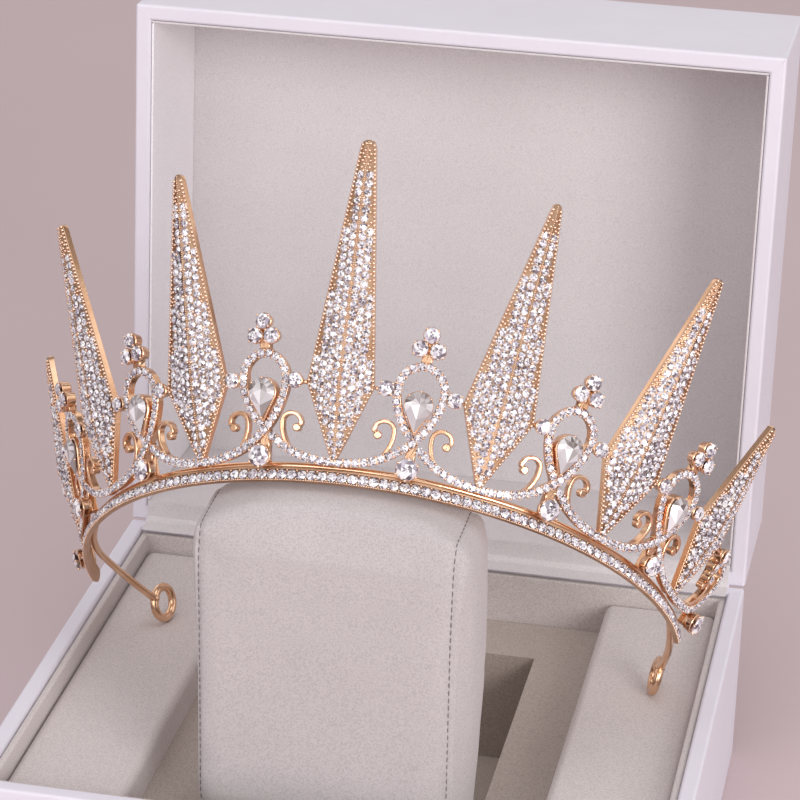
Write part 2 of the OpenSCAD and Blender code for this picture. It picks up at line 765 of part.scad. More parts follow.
// Opens the lid from its closed place, where its rim lies in the plane z = 0 behind the origin
module open_lid() {
    translate([0, hinge_y, base_h]) rotate([-90 - lid_lean, 0, 0]) children();
}

module lid() {
    color(WHITE_COVER) difference() {
        open_lid() difference() {
            translate([-box_w / 2, -box_d, seat_gap]) cube([box_w, box_d, lid_h - seat_gap]);
            translate([-box_w / 2 + wall_t, -box_d + wall_t, -1])
                cube([box_w - 2 * wall_t, box_d - 2 * wall_t, lid_h - board_t + 1]);
        }
        hinge_groove();
    }
}

// Lining boards inside the lid: padded on the top and on the rear wall, thin on the other three walls
module lid_liner() {
    gap = seat_gap;
    top_z = lid_h - board_t - gap;
    width = box_w - 2 * wall_t - 2 * gap;
    length = box_d - 2 * wall_t - 2 * gap;
    wall_h = top_z - pad_t - gap - lining_edge;
    side_length = length - side_lining_t - pad_t - 2 * gap;
    color(VELVET) open_lid() translate([-width / 2, -wall_t - gap - length, 0]) {
        translate([0, 0, top_z - pad_t]) cube([width, length, pad_t]);
        translate([0, length - pad_t, lining_edge]) cube([width, pad_t, wall_h]);
        translate([0, 0, lining_edge]) cube([width, side_lining_t, wall_h]);
        for (x = [0, width - side_lining_t])
            translate([x, side_lining_t + gap, lining_edge]) cube([side_lining_t, side_length, wall_h]);
    }
}

band();
band_stones();
head_wire();
for (i = [1:len(SPIKES)])
    spike(i - 1);
for (k = [1:PEARS]) {
    loop(k - 1);
    pear_stone(k - 1);
    top_stones(k - 1);
    side_stones(k - 1);
}
for (k = [1:PEARS + 2])
    round_stone(k - 1);
end_ornament(-1);  // end_ornament_left
end_ornament(1);  // end_ornament_right
end_stones(-1);  // end_stones_left
end_stones(1);  // end_stones_right
box_base();
base_liner();
tray();
pillow();
hinge_fold();
lid();
lid_liner();
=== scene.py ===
# %% [markdown]
# # A stone-set crown in its open presentation box
#
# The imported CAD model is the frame: castings, strip, wire, stones and box, all in metres. This lesson
# dresses it. The castings get soft cast edges, every stone gets its cut, the spikes get their small
# set stones, and the box gets its covering, its velvet and its stuffed pillow.

import math

import bmesh
import bpy
import numpy as np
from mathutils import Matrix, Vector
from mathutils import noise as field
from mathutils.bvhtree import BVHTree
from mathutils.kdtree import KDTree


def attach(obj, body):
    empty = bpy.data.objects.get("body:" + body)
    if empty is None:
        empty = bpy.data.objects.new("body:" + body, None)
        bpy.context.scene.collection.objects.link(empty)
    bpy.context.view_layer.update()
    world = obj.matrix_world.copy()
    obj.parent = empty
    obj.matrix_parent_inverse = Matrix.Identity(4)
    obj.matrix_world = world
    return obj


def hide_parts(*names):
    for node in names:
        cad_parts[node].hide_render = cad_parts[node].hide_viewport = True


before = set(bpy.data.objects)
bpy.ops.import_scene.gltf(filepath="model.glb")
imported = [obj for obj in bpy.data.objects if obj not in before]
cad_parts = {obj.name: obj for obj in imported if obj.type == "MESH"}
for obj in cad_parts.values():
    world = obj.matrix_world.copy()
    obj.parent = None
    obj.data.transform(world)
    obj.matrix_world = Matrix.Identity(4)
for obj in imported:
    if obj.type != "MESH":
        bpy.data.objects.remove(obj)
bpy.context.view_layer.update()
MM = 0.001

# %% [markdown]
# The castings stand on a band that is bent round the head and tipped back on the pillow. Their places
# are worked out with the same few numbers as in the CAD source: an arc length along the band, a
# distance sideways, a height up the leaning face and a distance outwards.

# %% Sizes shared with the CAD source, in millimetres
BAND_R = 75.0
BAND_LENGTH = 242.0
FLARE = math.radians(24.1)
PITCH = 33.25
CROWN_TILT = math.radians(49.8)
CROWN_TURN = math.radians(-1.68)
BOX_W, BOX_D, BASE_H, LID_H = 170.0, 145.6, 50.7, 47.4
WALL, BOARD, GAP = 4.2, 3.0, 0.1
HINGE_Y = BOX_D / 2
LID_LEAN = math.radians(3.65)
CROWN_PLACE = np.array([-0.4, HINGE_Y - 118.0, BASE_H + 77.3])
CAST_FRONT = 0.5
FOOT_H, SHOULDER_H = 2.6, 21.5
# Place in pitches, height, half width, bend of the tip to the right and outwards, the tip's half width.
SPIKES = [
    (-3, 52.3, 7.6, 1.0, -1.8, 1.25), (-2, 70.7, 8.7, -0.2, 1.1, 1.25),
    (-1, 71.6, 8.6, -0.8, 0.9, 1.25), (0, 78.0, 7.9, 1.2, 0, 1.8), (1, 71.6, 8.6, 0, 0, 1.25),
    (2, 70.7, 8.7, 0, 0, 1.25), (3, 52.3, 7.6, 0, 0, 1.25)]
LOOPS = [(k - 2.5) * PITCH for k in range(6)]
END_PLACE = 3.5 * PITCH


def unit(v):
    return v / np.linalg.norm(v)


def between(at, run, line):
    """The points of a line at the runs at, where run says how far along each of its own points is."""
    return np.stack([np.interp(at, run, column) for column in line.T], -1)


def turn_z(a):
    return np.array([[math.cos(a), -math.sin(a), 0], [math.sin(a), math.cos(a), 0], [0, 0, 1]])


def turn_x(a):
    return np.array([[1, 0, 0], [0, math.cos(a), -math.sin(a)], [0, math.sin(a), math.cos(a)]])


BAND_CENTRE = np.array([0, BAND_R, 0])
TIPPED = turn_x(-CROWN_TILT)


def seat(point):
    """A point of the upright crown, in millimetres, seated on the pillow, in metres."""
    turned = BAND_CENTRE + turn_z(CROWN_TURN) @ (np.asarray(point, float) - BAND_CENTRE)
    return (CROWN_PLACE + TIPPED @ turned) * MM


def seat_direction(v):
    return TIPPED @ turn_z(CROWN_TURN) @ np.asarray(v, float)


def face_angle(s, side, h):
    return s / BAND_R + side / (BAND_R + h * math.sin(FLARE))


def face_point(s, side, h, out):
    a = face_angle(s, side, h)
    r = BAND_R + h * math.sin(FLARE) + out * math.cos(FLARE)
    z = h * math.cos(FLARE) - out * math.sin(FLARE)
    return np.array([r * math.sin(a), BAND_R - r * math.cos(a), z])


def face_axes(s, side, h):
    """Outwards and upwards on the leaning face."""
    turned, c, s = turn_z(face_angle(s, side, h)), math.cos(FLARE), math.sin(FLARE)
    return turned @ [0, -c, -s], turned @ [0, -s, c]


# %% [markdown]
# Every piece is a plain mesh whose object stays at the origin. One helper makes such an object,
# another declares which CAD nodes it stands for, and another makes a cloud of bare points that carry
# which way they face, for the stones and beads.

# %% Helpers for meshes
def piece_of(name, mesh):
    piece = bpy.data.objects.new(name, mesh)
    bpy.context.scene.collection.objects.link(piece)
    return piece


def mesh_piece(name, points, faces, edges=()):
    mesh = bpy.data.meshes.new(name)
    mesh.from_pydata([tuple(p) for p in points], list(edges), [tuple(f) for f in faces])
    mesh.update()
    return piece_of(name, mesh)


def piece_from(name, shape):
    """A piece from a bmesh, which is used up."""
    mesh = bpy.data.meshes.new(name)
    shape.to_mesh(mesh)
    shape.free()
    return piece_of(name, mesh)


def merged_copy(node):
    """A bmesh of a CAD node's loose triangles, joined at their corners."""
    shape = bmesh.new()
    shape.from_mesh(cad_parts[node].data)
    bmesh.ops.remove_doubles(shape, verts=shape.verts, dist=2e-6)
    return shape


def applied(piece):
    """The piece with its modifiers made part of its mesh."""
    depsgraph = bpy.context.evaluated_depsgraph_get()
    mesh = bpy.data.meshes.new_from_object(piece.evaluated_get(depsgraph), depsgraph=depsgraph)
    piece.modifiers.clear()
    old, piece.data = piece.data, mesh
    bpy.data.meshes.remove(old)
    mesh.name = piece.name
    return piece


def places(piece):
    flat = np.empty(3 * len(piece.data.vertices))
    piece.data.vertices.foreach_get("co", flat)
    return flat.reshape(-1, 3)


def set_places(piece, points):
    piece.data.vertices.foreach_set("co", np.ravel(points))
    piece.data.update()


def finished(piece, finish=None, crease=None):
    """Gives a piece one finish and smooth shading, but for edges sharper than crease, in degrees."""
    mesh = piece.data
    if finish:
        mesh.materials.clear()
        mesh.materials.append(finish)
        mesh.polygons.foreach_set("material_index", [0] * len(mesh.polygons))
    mesh.polygons.foreach_set("use_smooth", [True] * len(mesh.polygons))
    if crease:
        mesh.set_sharp_from_angle(angle=math.radians(crease))
    return piece


def kept_as(piece, body, slot, *nodes):
    """Declares a piece: the body it rides on and the CAD nodes it stands for. The slot is not used."""
    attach(piece, body)
    if nodes:
        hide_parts(*nodes)
    print(piece.name, "rides on", body, "for", ", ".join(nodes) or "no node")
    return piece


def add_vectors(mesh, name, values):
    mesh.attributes.new(name, "FLOAT_VECTOR", "POINT").data.foreach_set("vector", np.ravel(values))


def add_numbers(mesh, name, values):
    mesh.attributes.new(name, "FLOAT", "POINT").data.foreach_set("value", values)


def point_cloud(name, rows):
    """Rows of (place, outwards, upwards, width), in metres, as bare vertices."""
    cloud = mesh_piece(name, [r[0] for r in rows], [])
    add_vectors(cloud.data, "out", [r[1] for r in rows])
    add_vectors(cloud.data, "up", [r[2] for r in rows])
    add_numbers(cloud.data, "width", [r[3] for r in rows])
    return cloud


def crown_row(place, out, up, width):
    return seat(place), seat_direction(out), seat_direction(up), width * MM


def face_row(s, side, h, out, width):
    outwards, up = face_axes(s, side, h)
    return crown_row(face_point(s, side, h, out), outwards, up, width)


def hand_set(rows, most, seed):
    """Tilts each row's outward direction a little, because no stone sits quite level."""
    chance = np.random.default_rng(seed)
    return [(place, unit(out + chance.uniform(-most, most, 3)), up, width)
            for place, out, up, width in rows]


def skin_of(piece):
    """A search tree of a piece's faces, for finding the nearest point or where a ray meets them."""
    mesh = piece.data
    return BVHTree.FromPolygons([v.co for v in mesh.vertices], [f.vertices for f in mesh.polygons])


def count_triangles(piece):
    piece.data.calc_loop_triangles()
    return len(piece.data.loop_triangles)


# %% [markdown]
# ## Finishes
#
# Each finish is a small node material. Patterns read Object coordinates, which are metres here, so a
# scale of 1000 gives a pattern about a millimetre wide.

# %% Helpers for nodes and materials
def add(tree, kind, pick=None, **settings):
    """Adds a node and returns its first socket out, or the one that pick names.

    A name in small letters is one of the node's properties. A name with a capital is an input: a
    socket is linked to it, and anything else becomes its value.
    """
    made = tree.nodes.new(kind)
    for name, value in settings.items():
        if name[0].islower():
            setattr(made, name, value)
        elif isinstance(value, bpy.types.NodeSocket):
            tree.links.new(value, made.inputs[name.replace("_", " ")])
        else:
            made.inputs[name.replace("_", " ")].default_value = value
    return made.outputs[pick] if pick else next(o for o in made.outputs if o.enabled)


def material(name, **sockets):
    made = bpy.data.materials.new(name)
    made.use_nodes = True
    shader = made.node_tree.nodes["Principled BSDF"]
    for label, value in sockets.items():
        shader.inputs[label.replace("_", " ")].default_value = value
    return made, made.node_tree, shader


def noise(tree, scale, detail=2.0, rough=0.5):
    where = add(tree, "ShaderNodeTexCoord", "Object")
    return add(tree, "ShaderNodeTexNoise", Scale=scale, Detail=detail, Roughness=rough, Vector=where)


def ramp(tree, value, stops):
    colours = add(tree, "ShaderNodeValToRGB", Fac=value)
    row = colours.node.color_ramp.elements
    while len(row) < len(stops):
        row.new(0.5)
    for element, (place, colour) in zip(row, stops):
        element.position = place
        element.color = (*colour, 1)
    return colours


def mottled(tree, scale, detail, dark, light):
    return ramp(tree, noise(tree, scale, detail), [(0.3, dark), (0.7, light)])


def bump(tree, shader, height, strength, depth):
    relief = add(tree, "ShaderNodeBump", Strength=strength, Distance=depth, Height=height)
    tree.links.new(relief, shader.inputs["Normal"])


def multiplied(tree, a, b):
    return add(tree, "ShaderNodeMix", data_type="RGBA", blend_type="MULTIPLY", Factor=1.0, A=a, B=b)


def ranged(tree, value, low, high):
    return add(tree, "ShaderNodeMapRange", To_Min=low, To_Max=high, Value=value)


# %% [markdown]
# The metal is cast alloy with rose-gold plating. Its colour drifts a little, and a fine orange-peel
# relief breaks up the reflections, as plating over a casting does.

# %% Rose gold
PLATE_DARK, PLATE_LIGHT, PALE_PLATE = (0.74, 0.44, 0.27), (0.88, 0.59, 0.40), (0.95, 0.82, 0.75)


def rose_gold(name, rough_low, rough_high, relief, tone=1.0, pale=0.0):
    gold, tree, shader = material(name, Metallic=1.0)
    dark, light = [tuple(tone * ((1 - pale) * c + pale * p) for c, p in zip(colour, PALE_PLATE))
                   for colour in (PLATE_DARK, PLATE_LIGHT)]
    tree.links.new(mottled(tree, 160, 3, dark, light), shader.inputs["Base Color"])
    rough = ranged(tree, noise(tree, 420, 2), rough_low, rough_high)
    tree.links.new(rough, shader.inputs["Roughness"])
    bump(tree, shader, noise(tree, 1500, 2), relief, 0.0001)
    return gold


GOLD = rose_gold("rose gold plate", 0.12, 0.26, 0.2)
# The plate between the stones is a darker copy: painted shade between the stones.
SHADED_SEAT_GOLD = rose_gold("rose gold between stones", 0.3, 0.45, 0.6, 0.45)
# The grains, beads and prongs take a paler copy of the plate: painted highlight.
LIT_GRAIN_GOLD = rose_gold("rose gold grain", 0.12, 0.26, 0.1, pale=0.35)
# The strip's plate is painted darker: painted shade.
BRUSHED_SHADED_GOLD = rose_gold("rose gold brushed", 0.3, 0.48, 0.5, 0.75)
print("finish:", GOLD.name, LIT_GRAIN_GOLD.name, BRUSHED_SHADED_GOLD.name)

# %% [markdown]
# The stones are clear glass with a silver foil on the back, so each facet shows either light or the
# dark of the room. Clear glass alone would need many light bounces. Here each facet carries a random
# value instead, made when the stones are set, and the material turns it into how much that facet
# returns.

# %% Foil-backed crystal
def crystal(name, stops, metallic):
    stone, tree, shader = material(name, Metallic=metallic, Roughness=0.08, IOR=1.6,
                                   Coat_Weight=0.3, Coat_Roughness=0.03)
    facet = add(tree, "ShaderNodeAttribute", "Fac", attribute_name="sparkle")
    tree.links.new(ramp(tree, facet, stops), shader.inputs["Base Color"])
    return stone


CRYSTAL = crystal("foiled crystal", [(0.07, (0.13, 0.10, 0.12)), (0.30, (0.36, 0.32, 0.38)),
                                     (0.54, (0.70, 0.66, 0.74)), (0.76, (1.0, 1.0, 1.0))], 0.2)
PEAR_CRYSTAL = crystal("pear crystal", [(0.05, (0.13, 0.10, 0.09)), (0.35, (0.38, 0.34, 0.34)),
                                        (0.6, (0.68, 0.65, 0.68)), (0.85, (1.0, 0.98, 1.0))], 0.1)
print("finish:", CRYSTAL.name, PEAR_CRYSTAL.name)

# %% [markdown]
# The box is covered with smooth white leatherette, which has a very fine pebble. The lining is
# suede-like velvet: fine speckle from the nap, slow patches where it was brushed, and a soft sheen.

# %% Covering, velvet and thread
def leatherette():
    cover, tree, shader = material("white leatherette", IOR=1.45)
    tone = mottled(tree, 45, 2, (0.75, 0.72, 0.80), (0.775, 0.745, 0.825))
    tree.links.new(tone, shader.inputs["Base Color"])
    tree.links.new(ranged(tree, noise(tree, 300, 2), 0.42, 0.58), shader.inputs["Roughness"])
    where = add(tree, "ShaderNodeTexCoord", "Object")
    bump(tree, shader, add(tree, "ShaderNodeTexVoronoi", Scale=1400, Vector=where), 0.12, 0.0001)
    return cover


def velvet(name, tone, nap=0.12):
    dark, light = [0.97 * t for t in tone], [1.02 * t for t in tone]
    cloth, tree, shader = material(name, Roughness=0.95, IOR=1.4, Sheen_Weight=0.35,
                                   Sheen_Roughness=0.4, Sheen_Tint=(0.95, 0.90, 0.88, 1))
    patches = mottled(tree, 30, 2, dark, light)
    speckle = ramp(tree, noise(tree, 2600, 2, 0.6), [(0.36, (1 - nap,) * 3), (0.56, (1, 1, 1))])
    tree.links.new(multiplied(tree, patches, speckle), shader.inputs["Base Color"])
    bump(tree, shader, noise(tree, 2600, 3, 0.7), 0.35, 0.0002)
    return cloth


LEATHERETTE = leatherette()
VELVET = velvet("beige velvet", (0.67, 0.61, 0.60), 0.22)
# The lid's lining and the velvet over the hinge are painted lighter than the base's velvet: painted
# light.
LIT_LID_VELVET = velvet("lid velvet", (0.74, 0.70, 0.715))
# The lid's left board is painted lighter still: painted light.
LIT_SIDE_VELVET = velvet("lid side velvet", (0.95, 0.93, 0.97))
# The insert's velvet is painted darker: painted shade in the well and the channel.
SHADED_WELL_VELVET = velvet("well velvet", (0.50, 0.43, 0.39), 0.25)
# The pillow's velvet is painted darker than the lining's: painted shade.
SHADED_PILLOW_VELVET = velvet("pillow velvet", (0.55, 0.505, 0.51), 0.19)
THREAD, _, _ = material("dark thread", Base_Color=(0.19, 0.175, 0.175, 1), Roughness=0.8)
print("finishes:", [finish.name for finish in bpy.data.materials])

# %% [markdown]
# ## Setting shapes on points
#
# A crown like this has well over a thousand small stones, and as many beads of metal that hold them.
# One Geometry Nodes tree sets a given shape on every point: the shape's Z looks outwards, its Y looks
# upwards, and it may be spun at random about its own axis. The random facet values for the crystal
# material are stored on the faces after the instances are made real.

# %% The tree that sets shapes
def new_tree(name, inputs):
    tree = bpy.data.node_groups.new(name, "GeometryNodeTree")
    tree.interface.new_socket("Geometry", in_out="INPUT", socket_type="NodeSocketGeometry")
    for label, kind in inputs:
        tree.interface.new_socket(label, in_out="INPUT", socket_type="NodeSocket" + kind)
    tree.interface.new_socket("Geometry", in_out="OUTPUT", socket_type="NodeSocketGeometry")
    return tree, tree.nodes.new("NodeGroupInput").outputs


def ended(tree, geometry, finish):
    """Gives the geometry its material and sends it out of the tree."""
    coated = add(tree, "GeometryNodeSetMaterial", Geometry=geometry, Material=finish)
    tree.links.new(coated, tree.nodes.new("NodeGroupOutput").inputs["Geometry"])
    return tree


def named(tree, name, kind):
    return add(tree, "GeometryNodeInputNamedAttribute", data_type=kind, Name=name)


def random_value(tree, seed, **most):
    return add(tree, "FunctionNodeRandomValue", data_type="FLOAT", Seed=seed, **most)


def setting_tree():
    tree, given = new_tree("set shapes on points", [
        ("Shape", "Object"), ("Spin", "Float"), ("Seed", "Int"), ("Finish", "Material")])
    face = add(tree, "FunctionNodeAlignRotationToVector", axis="Z",
               Vector=named(tree, "out", "FLOAT_VECTOR"))
    stand = add(tree, "FunctionNodeAlignRotationToVector", axis="Y", pivot_axis="Z", Rotation=face,
                Vector=named(tree, "up", "FLOAT_VECTOR"))
    spin = add(tree, "FunctionNodeAxisAngleToRotation", Axis=(0, 0, 1),
               Angle=random_value(tree, given["Seed"], Max=given["Spin"]))
    turned = add(tree, "FunctionNodeRotateRotation", rotation_space="LOCAL", Rotation=stand,
                 Rotate_By=spin)
    shape = add(tree, "GeometryNodeObjectInfo", "Geometry", As_Instance=True, Object=given["Shape"])
    place = add(tree, "GeometryNodeInstanceOnPoints", Points=given["Geometry"], Instance=shape,
                Rotation=turned, Scale=named(tree, "width", "FLOAT"))
    real = add(tree, "GeometryNodeRealizeInstances", Geometry=place)
    sparkle = add(tree, "GeometryNodeStoreNamedAttribute", data_type="FLOAT", domain="FACE",
                  Name="sparkle", Geometry=real, Value=random_value(tree, given["Seed"]))
    return ended(tree, sparkle, given["Finish"])


def grown(name, source, tree, **values):
    """Runs a tree on a source object and keeps the result as a plain mesh piece."""
    modifier = source.modifiers.new("nodes", "NODES")
    modifier.node_group = tree
    for item in tree.interface.items_tree:
        if item.in_out == "INPUT" and item.name in values:
            modifier[item.identifier] = values[item.name]
    piece = applied(source)
    piece.name = piece.data.name = name
    return piece


SETTING = setting_tree()


def set_shapes(name, rows, shape, finish, spin=0.0, seed=1):
    """Sets a shape on every row. The rows' width scales it."""
    cloud = point_cloud(name + " points", rows)
    piece = grown(name, cloud, SETTING, Shape=shape, Spin=spin, Seed=seed, Finish=finish)
    print(name + ":", len(rows), "set,", count_triangles(piece), "triangles")
    return piece


# %% [markdown]
# The shapes themselves are templates of width 1: a brilliant with a table and three rows of facets, a
# small chaton with one row, and beads for grains and prongs. They are removed once everything is set.

# %% Template shapes
def ring(radius, z, count, offset=0.0):
    return [(radius * math.cos(2 * math.pi * (i + offset) / count),
             radius * math.sin(2 * math.pi * (i + offset) / count), z) for i in range(count)]


def outward(piece):
    shape = bmesh.new()
    shape.from_mesh(piece.data)
    bmesh.ops.remove_doubles(shape, verts=shape.verts, dist=1e-7)
    bmesh.ops.recalc_face_normals(shape, faces=shape.faces)
    shape.to_mesh(piece.data)
    shape.free()
    return piece


def brilliant(name, n=8, table=0.27, crown=0.16, below=0.16):
    """Table, star facets, kites and a pointed back. The table shows the back's facets as a star."""
    rings = (ring(0.5, 0.0, 2 * n) + ring(0.40, crown * 0.62, n, 0.5) + ring(table, crown, n)
             + ring(table * 0.45, crown, n, 0.5) + [(0, 0, crown), (0, 0, -below)])
    g, m, t, r, top, tip = 0, 2 * n, 3 * n, 4 * n, 5 * n, 5 * n + 1
    faces = []
    for i in range(n):
        j, h = (i + 1) % n, (i - 1) % n
        faces += [(t + i, m + i, t + j), (t + i, m + h, g + 2 * i, m + i),
                  (m + i, g + 2 * i, g + 2 * i + 1), (m + i, g + 2 * i + 1, g + (2 * i + 2) % (2 * n)),
                  (t + i, t + j, r + i), (t + i, r + i, r + h), (r + i, top, r + h)]
    faces += [(tip, g + (k + 1) % (2 * n), g + k) for k in range(2 * n)]
    return outward(mesh_piece(name, rings, faces))


def chaton(name, n=8, table=0.24, crown=0.2, below=0.08):
    rings = ring(0.5, 0.0, n) + ring(table, crown, n, 0.5) + [(0, 0, crown), (0, 0, -below)]
    faces = []
    for i in range(n):
        j = (i + 1) % n
        faces += [(i, j, n + i), (n + i, j, n + j), (n + i, n + j, 2 * n), (2 * n + 1, j, i)]
    return outward(mesh_piece(name, rings, faces))


def bead(name, flat, detail):
    shape = bmesh.new()
    bmesh.ops.create_icosphere(shape, subdivisions=detail, radius=0.5)
    bmesh.ops.scale(shape, vec=(1, 1, flat), verts=shape.verts)
    return finished(piece_from(name, shape))


BRILLIANT, CHATON = brilliant("brilliant"), chaton("chaton")
GRAIN, PRONG = bead("grain", 0.9, 1), bead("prong", 1.0, 2)
TEMPLATES = [BRILLIANT, CHATON, GRAIN, PRONG]
print("templates:", [t.name for t in TEMPLATES])

# %% [markdown]
# ## Castings
#
# A casting never has a razor edge. A merged copy of each CAD solid is bevelled by one to three tenths
# of a millimetre and shaded smooth across its shallow steps, so the edges catch a thin line of light.
# A bevel can throw a point off a narrow face, so such points are put back on the solid's skin. The
# strip is brushed, so it has its own rougher finish, and its plate is painted darker: painted shade.

# %% Soft-edged copies of the castings
LOOP_CASTINGS = [f"loop_{i}" for i in range(1, 7)] + ["end_ornament_left", "end_ornament_right"]
LOOP_EDGE, SPIKE_EDGE, STRIP_EDGE, EDGE_STEPS, CREASE = 0.3, 0.1, 0.12, 3, 38
SHADED_SEAT_FACING = 0.6


def held_to(piece, skin, most):
    """Puts a point that the rounding threw further than most off the skin back on it."""
    points = places(piece)
    for number, point in enumerate(points):
        nearest, _, _, away = skin.find_nearest(Vector(point))
        if away > most * MM:
            points[number] = nearest
    set_places(piece, points)


def softened(name, node, finish, bevel):
    shape = merged_copy(node)
    bmesh.ops.dissolve_limit(shape, angle_limit=math.radians(1), verts=shape.verts, edges=shape.edges)
    piece = finished(piece_from(name, shape), finish, CREASE)
    skin = skin_of(piece)
    edge = piece.modifiers.new("cast edge", "BEVEL")
    edge.width, edge.segments = bevel * MM, EDGE_STEPS
    edge.limit_method, edge.angle_limit = "ANGLE", math.radians(CREASE)
    edge.use_clamp_overlap = False
    held_to(applied(piece), skin, bevel / 2)
    return kept_as(piece, "case", "gold", node)


for node in LOOP_CASTINGS:
    softened(node + "_cast", node, GOLD, LOOP_EDGE)
for number, row in enumerate(SPIKES, 1):
    piece = softened(f"spike_{number}_cast", f"spike_{number}", GOLD, SPIKE_EDGE)
    # The spike's faces that look ahead, where the stones sit, take the darker copy: painted shade.
    piece.data.materials.append(SHADED_SEAT_GOLD)
    front = Vector(seat_direction(face_axes(row[0] * PITCH, 0, 0)[0]))
    for face in piece.data.polygons:
        face.material_index = int(face.normal.dot(front) > SHADED_SEAT_FACING)
softened("strip", "band", BRUSHED_SHADED_GOLD, STRIP_EDGE)

# %% [markdown]
# ## Wire
#
# One round wire runs along the strip, leaves it at both ends in gentle bends and closes into an
# eyelet. It is a rule, not a shape: a centre line and a radius. So a tree turns the line into a tube.

# %% The centre line of the wire
WIRE_D, WIRE_R, WIRE_Z = 1.8, 73.6, 2.9
ARM_END_D = 2.0
EYELET_D, EYELET_WIRE_D = 10.4, 2.2
ARM_START = math.radians(75)
LEFT_BENDS, LEFT_TILT = [(43, 17, 12), (119, 28.8, -16)], math.radians(-9)
RIGHT_BENDS, RIGHT_TILT = [(49, 13.2, -31), (84, 31, 25)], math.radians(12)
ARM_STEPS, EYELET_STEPS, HEAD_STEPS = 14, 40, 90


def tilted(f, degrees):
    c, s = math.cos(math.radians(degrees)), math.sin(math.radians(degrees))
    return f[0], f[1], c * f[2] + s * f[3], c * f[3] - s * f[2]


def moved_round(f, r, a):
    c, s = math.cos(a), math.sin(a)
    return f[0] + r * s * f[1] + r * (1 - c) * f[2], c * f[1] + s * f[2], c * f[2] - s * f[1], f[3]


def band_frame(a):
    c, s = math.cos(a), math.sin(a)
    return (np.array([WIRE_R * s, BAND_R - WIRE_R * c, WIRE_Z]), np.array([c, s, 0]),
            np.array([-s, c, 0]), np.array([0, 0, 1.0]))


def arm(bends):
    """Bends of (radius, length, tilt), one after the other, from the end of the strip."""
    here, line = band_frame(ARM_START), []
    for radius, length, tilt in bends:
        turned = tilted(here, tilt)
        line += [moved_round(turned, radius, length / radius * i / ARM_STEPS)[0]
                 for i in range(1, ARM_STEPS + 1)]
        here = tilted(moved_round(turned, radius, length / radius), -tilt)
    return line, here


def eyelet(here, tilt):
    place, forwards, _, up = here
    r = (EYELET_D - EYELET_WIRE_D) / 2
    across = math.cos(tilt) * forwards - math.sin(tilt) * up
    along = math.sin(tilt) * forwards + math.cos(tilt) * up
    turns = [2 * math.pi * i / EYELET_STEPS for i in range(EYELET_STEPS)]
    return [place + r * across - r * (math.cos(a) * across + math.sin(a) * along) for a in turns]


def flipped(points):
    return [p * [-1, 1, 1] for p in points]


left_line, left_end = arm(LEFT_BENDS)
right_line, right_end = arm(RIGHT_BENDS)
round_head = [band_frame(ARM_START * (2 * i / HEAD_STEPS - 1))[0] for i in range(HEAD_STEPS + 1)]
whole_wire = flipped(left_line)[::-1] + round_head + right_line
print("wire:", len(whole_wire), "points")

# %% The tree that turns a line into a round wire
def wire_tree():
    tree, given = new_tree("wire along a line", [
        ("Radius", "Float"), ("Sides", "Int"), ("Finish", "Material")])
    curve = add(tree, "GeometryNodeMeshToCurve", Mesh=given["Geometry"])
    section = add(tree, "GeometryNodeCurvePrimitiveCircle", Radius=given["Radius"],
                  Resolution=given["Sides"])
    tube = add(tree, "GeometryNodeCurveToMesh", Fill_Caps=True, Curve=curve, Profile_Curve=section,
               Scale=named(tree, "part", "FLOAT"))
    return ended(tree, tube, given["Finish"])


WIRE = wire_tree()
WIRE_CREASE = 50


def wires(lines, sides, finish):
    """Tubes along lines of (points, closed, radius, parts of the radius at each point), as a bmesh."""
    shape = bmesh.new()
    for points, closed, radius, parts in lines:
        n = len(points)
        edges = [(i, (i + 1) % n) for i in range(n if closed else n - 1)]
        line = mesh_piece("line", points, [], edges)
        add_numbers(line.data, "part", parts or [1.0] * n)
        tube = grown("tube", line, WIRE, Radius=radius * MM, Sides=sides, Finish=finish)
        shape.from_mesh(tube.data)
        bpy.data.objects.remove(tube)
    return shape


def wire_piece(name, shape, finish):
    bmesh.ops.recalc_face_normals(shape, faces=shape.faces)
    return finished(piece_from(name, shape), finish, WIRE_CREASE)


# %% Bend the wire
SOLDER_R, WIRE_SIDES = 1.35, 16
thicker = [1 + (ARM_END_D / WIRE_D - 1) * max(0, i - ARM_STEPS + 1) / ARM_STEPS
           for i in range(2 * ARM_STEPS)]
parts = thicker[::-1] + [1.0] * len(round_head) + thicker
eyelets = [flipped(eyelet(left_end, LEFT_TILT)), eyelet(right_end, RIGHT_TILT)]
lines = [([seat(p) for p in whole_wire], False, WIRE_D / 2, parts)]
lines += [([seat(p) for p in line], True, EYELET_WIRE_D / 2, None) for line in eyelets]
shape = wires(lines, WIRE_SIDES, GOLD)
for place in (flipped([left_end[0]])[0], right_end[0]):
    solder = Matrix.Translation(seat(place))
    bmesh.ops.create_icosphere(shape, subdivisions=3, radius=SOLDER_R * MM, matrix=solder)
head_wire = kept_as(wire_piece("bent_wire", shape, GOLD), "case", "gold", "head_wire")
print("wire:", count_triangles(head_wire), "triangles")

# %% [markdown]
# ## Spikes
#
# Each half of a spike's front is filled with columns of small stones, and a line of milgrain runs
# along the ridge between them. A column ends where the tapering face gets too narrow for it, and what
# is left over, along the edges and at the tip, is covered with tiny grains of metal.

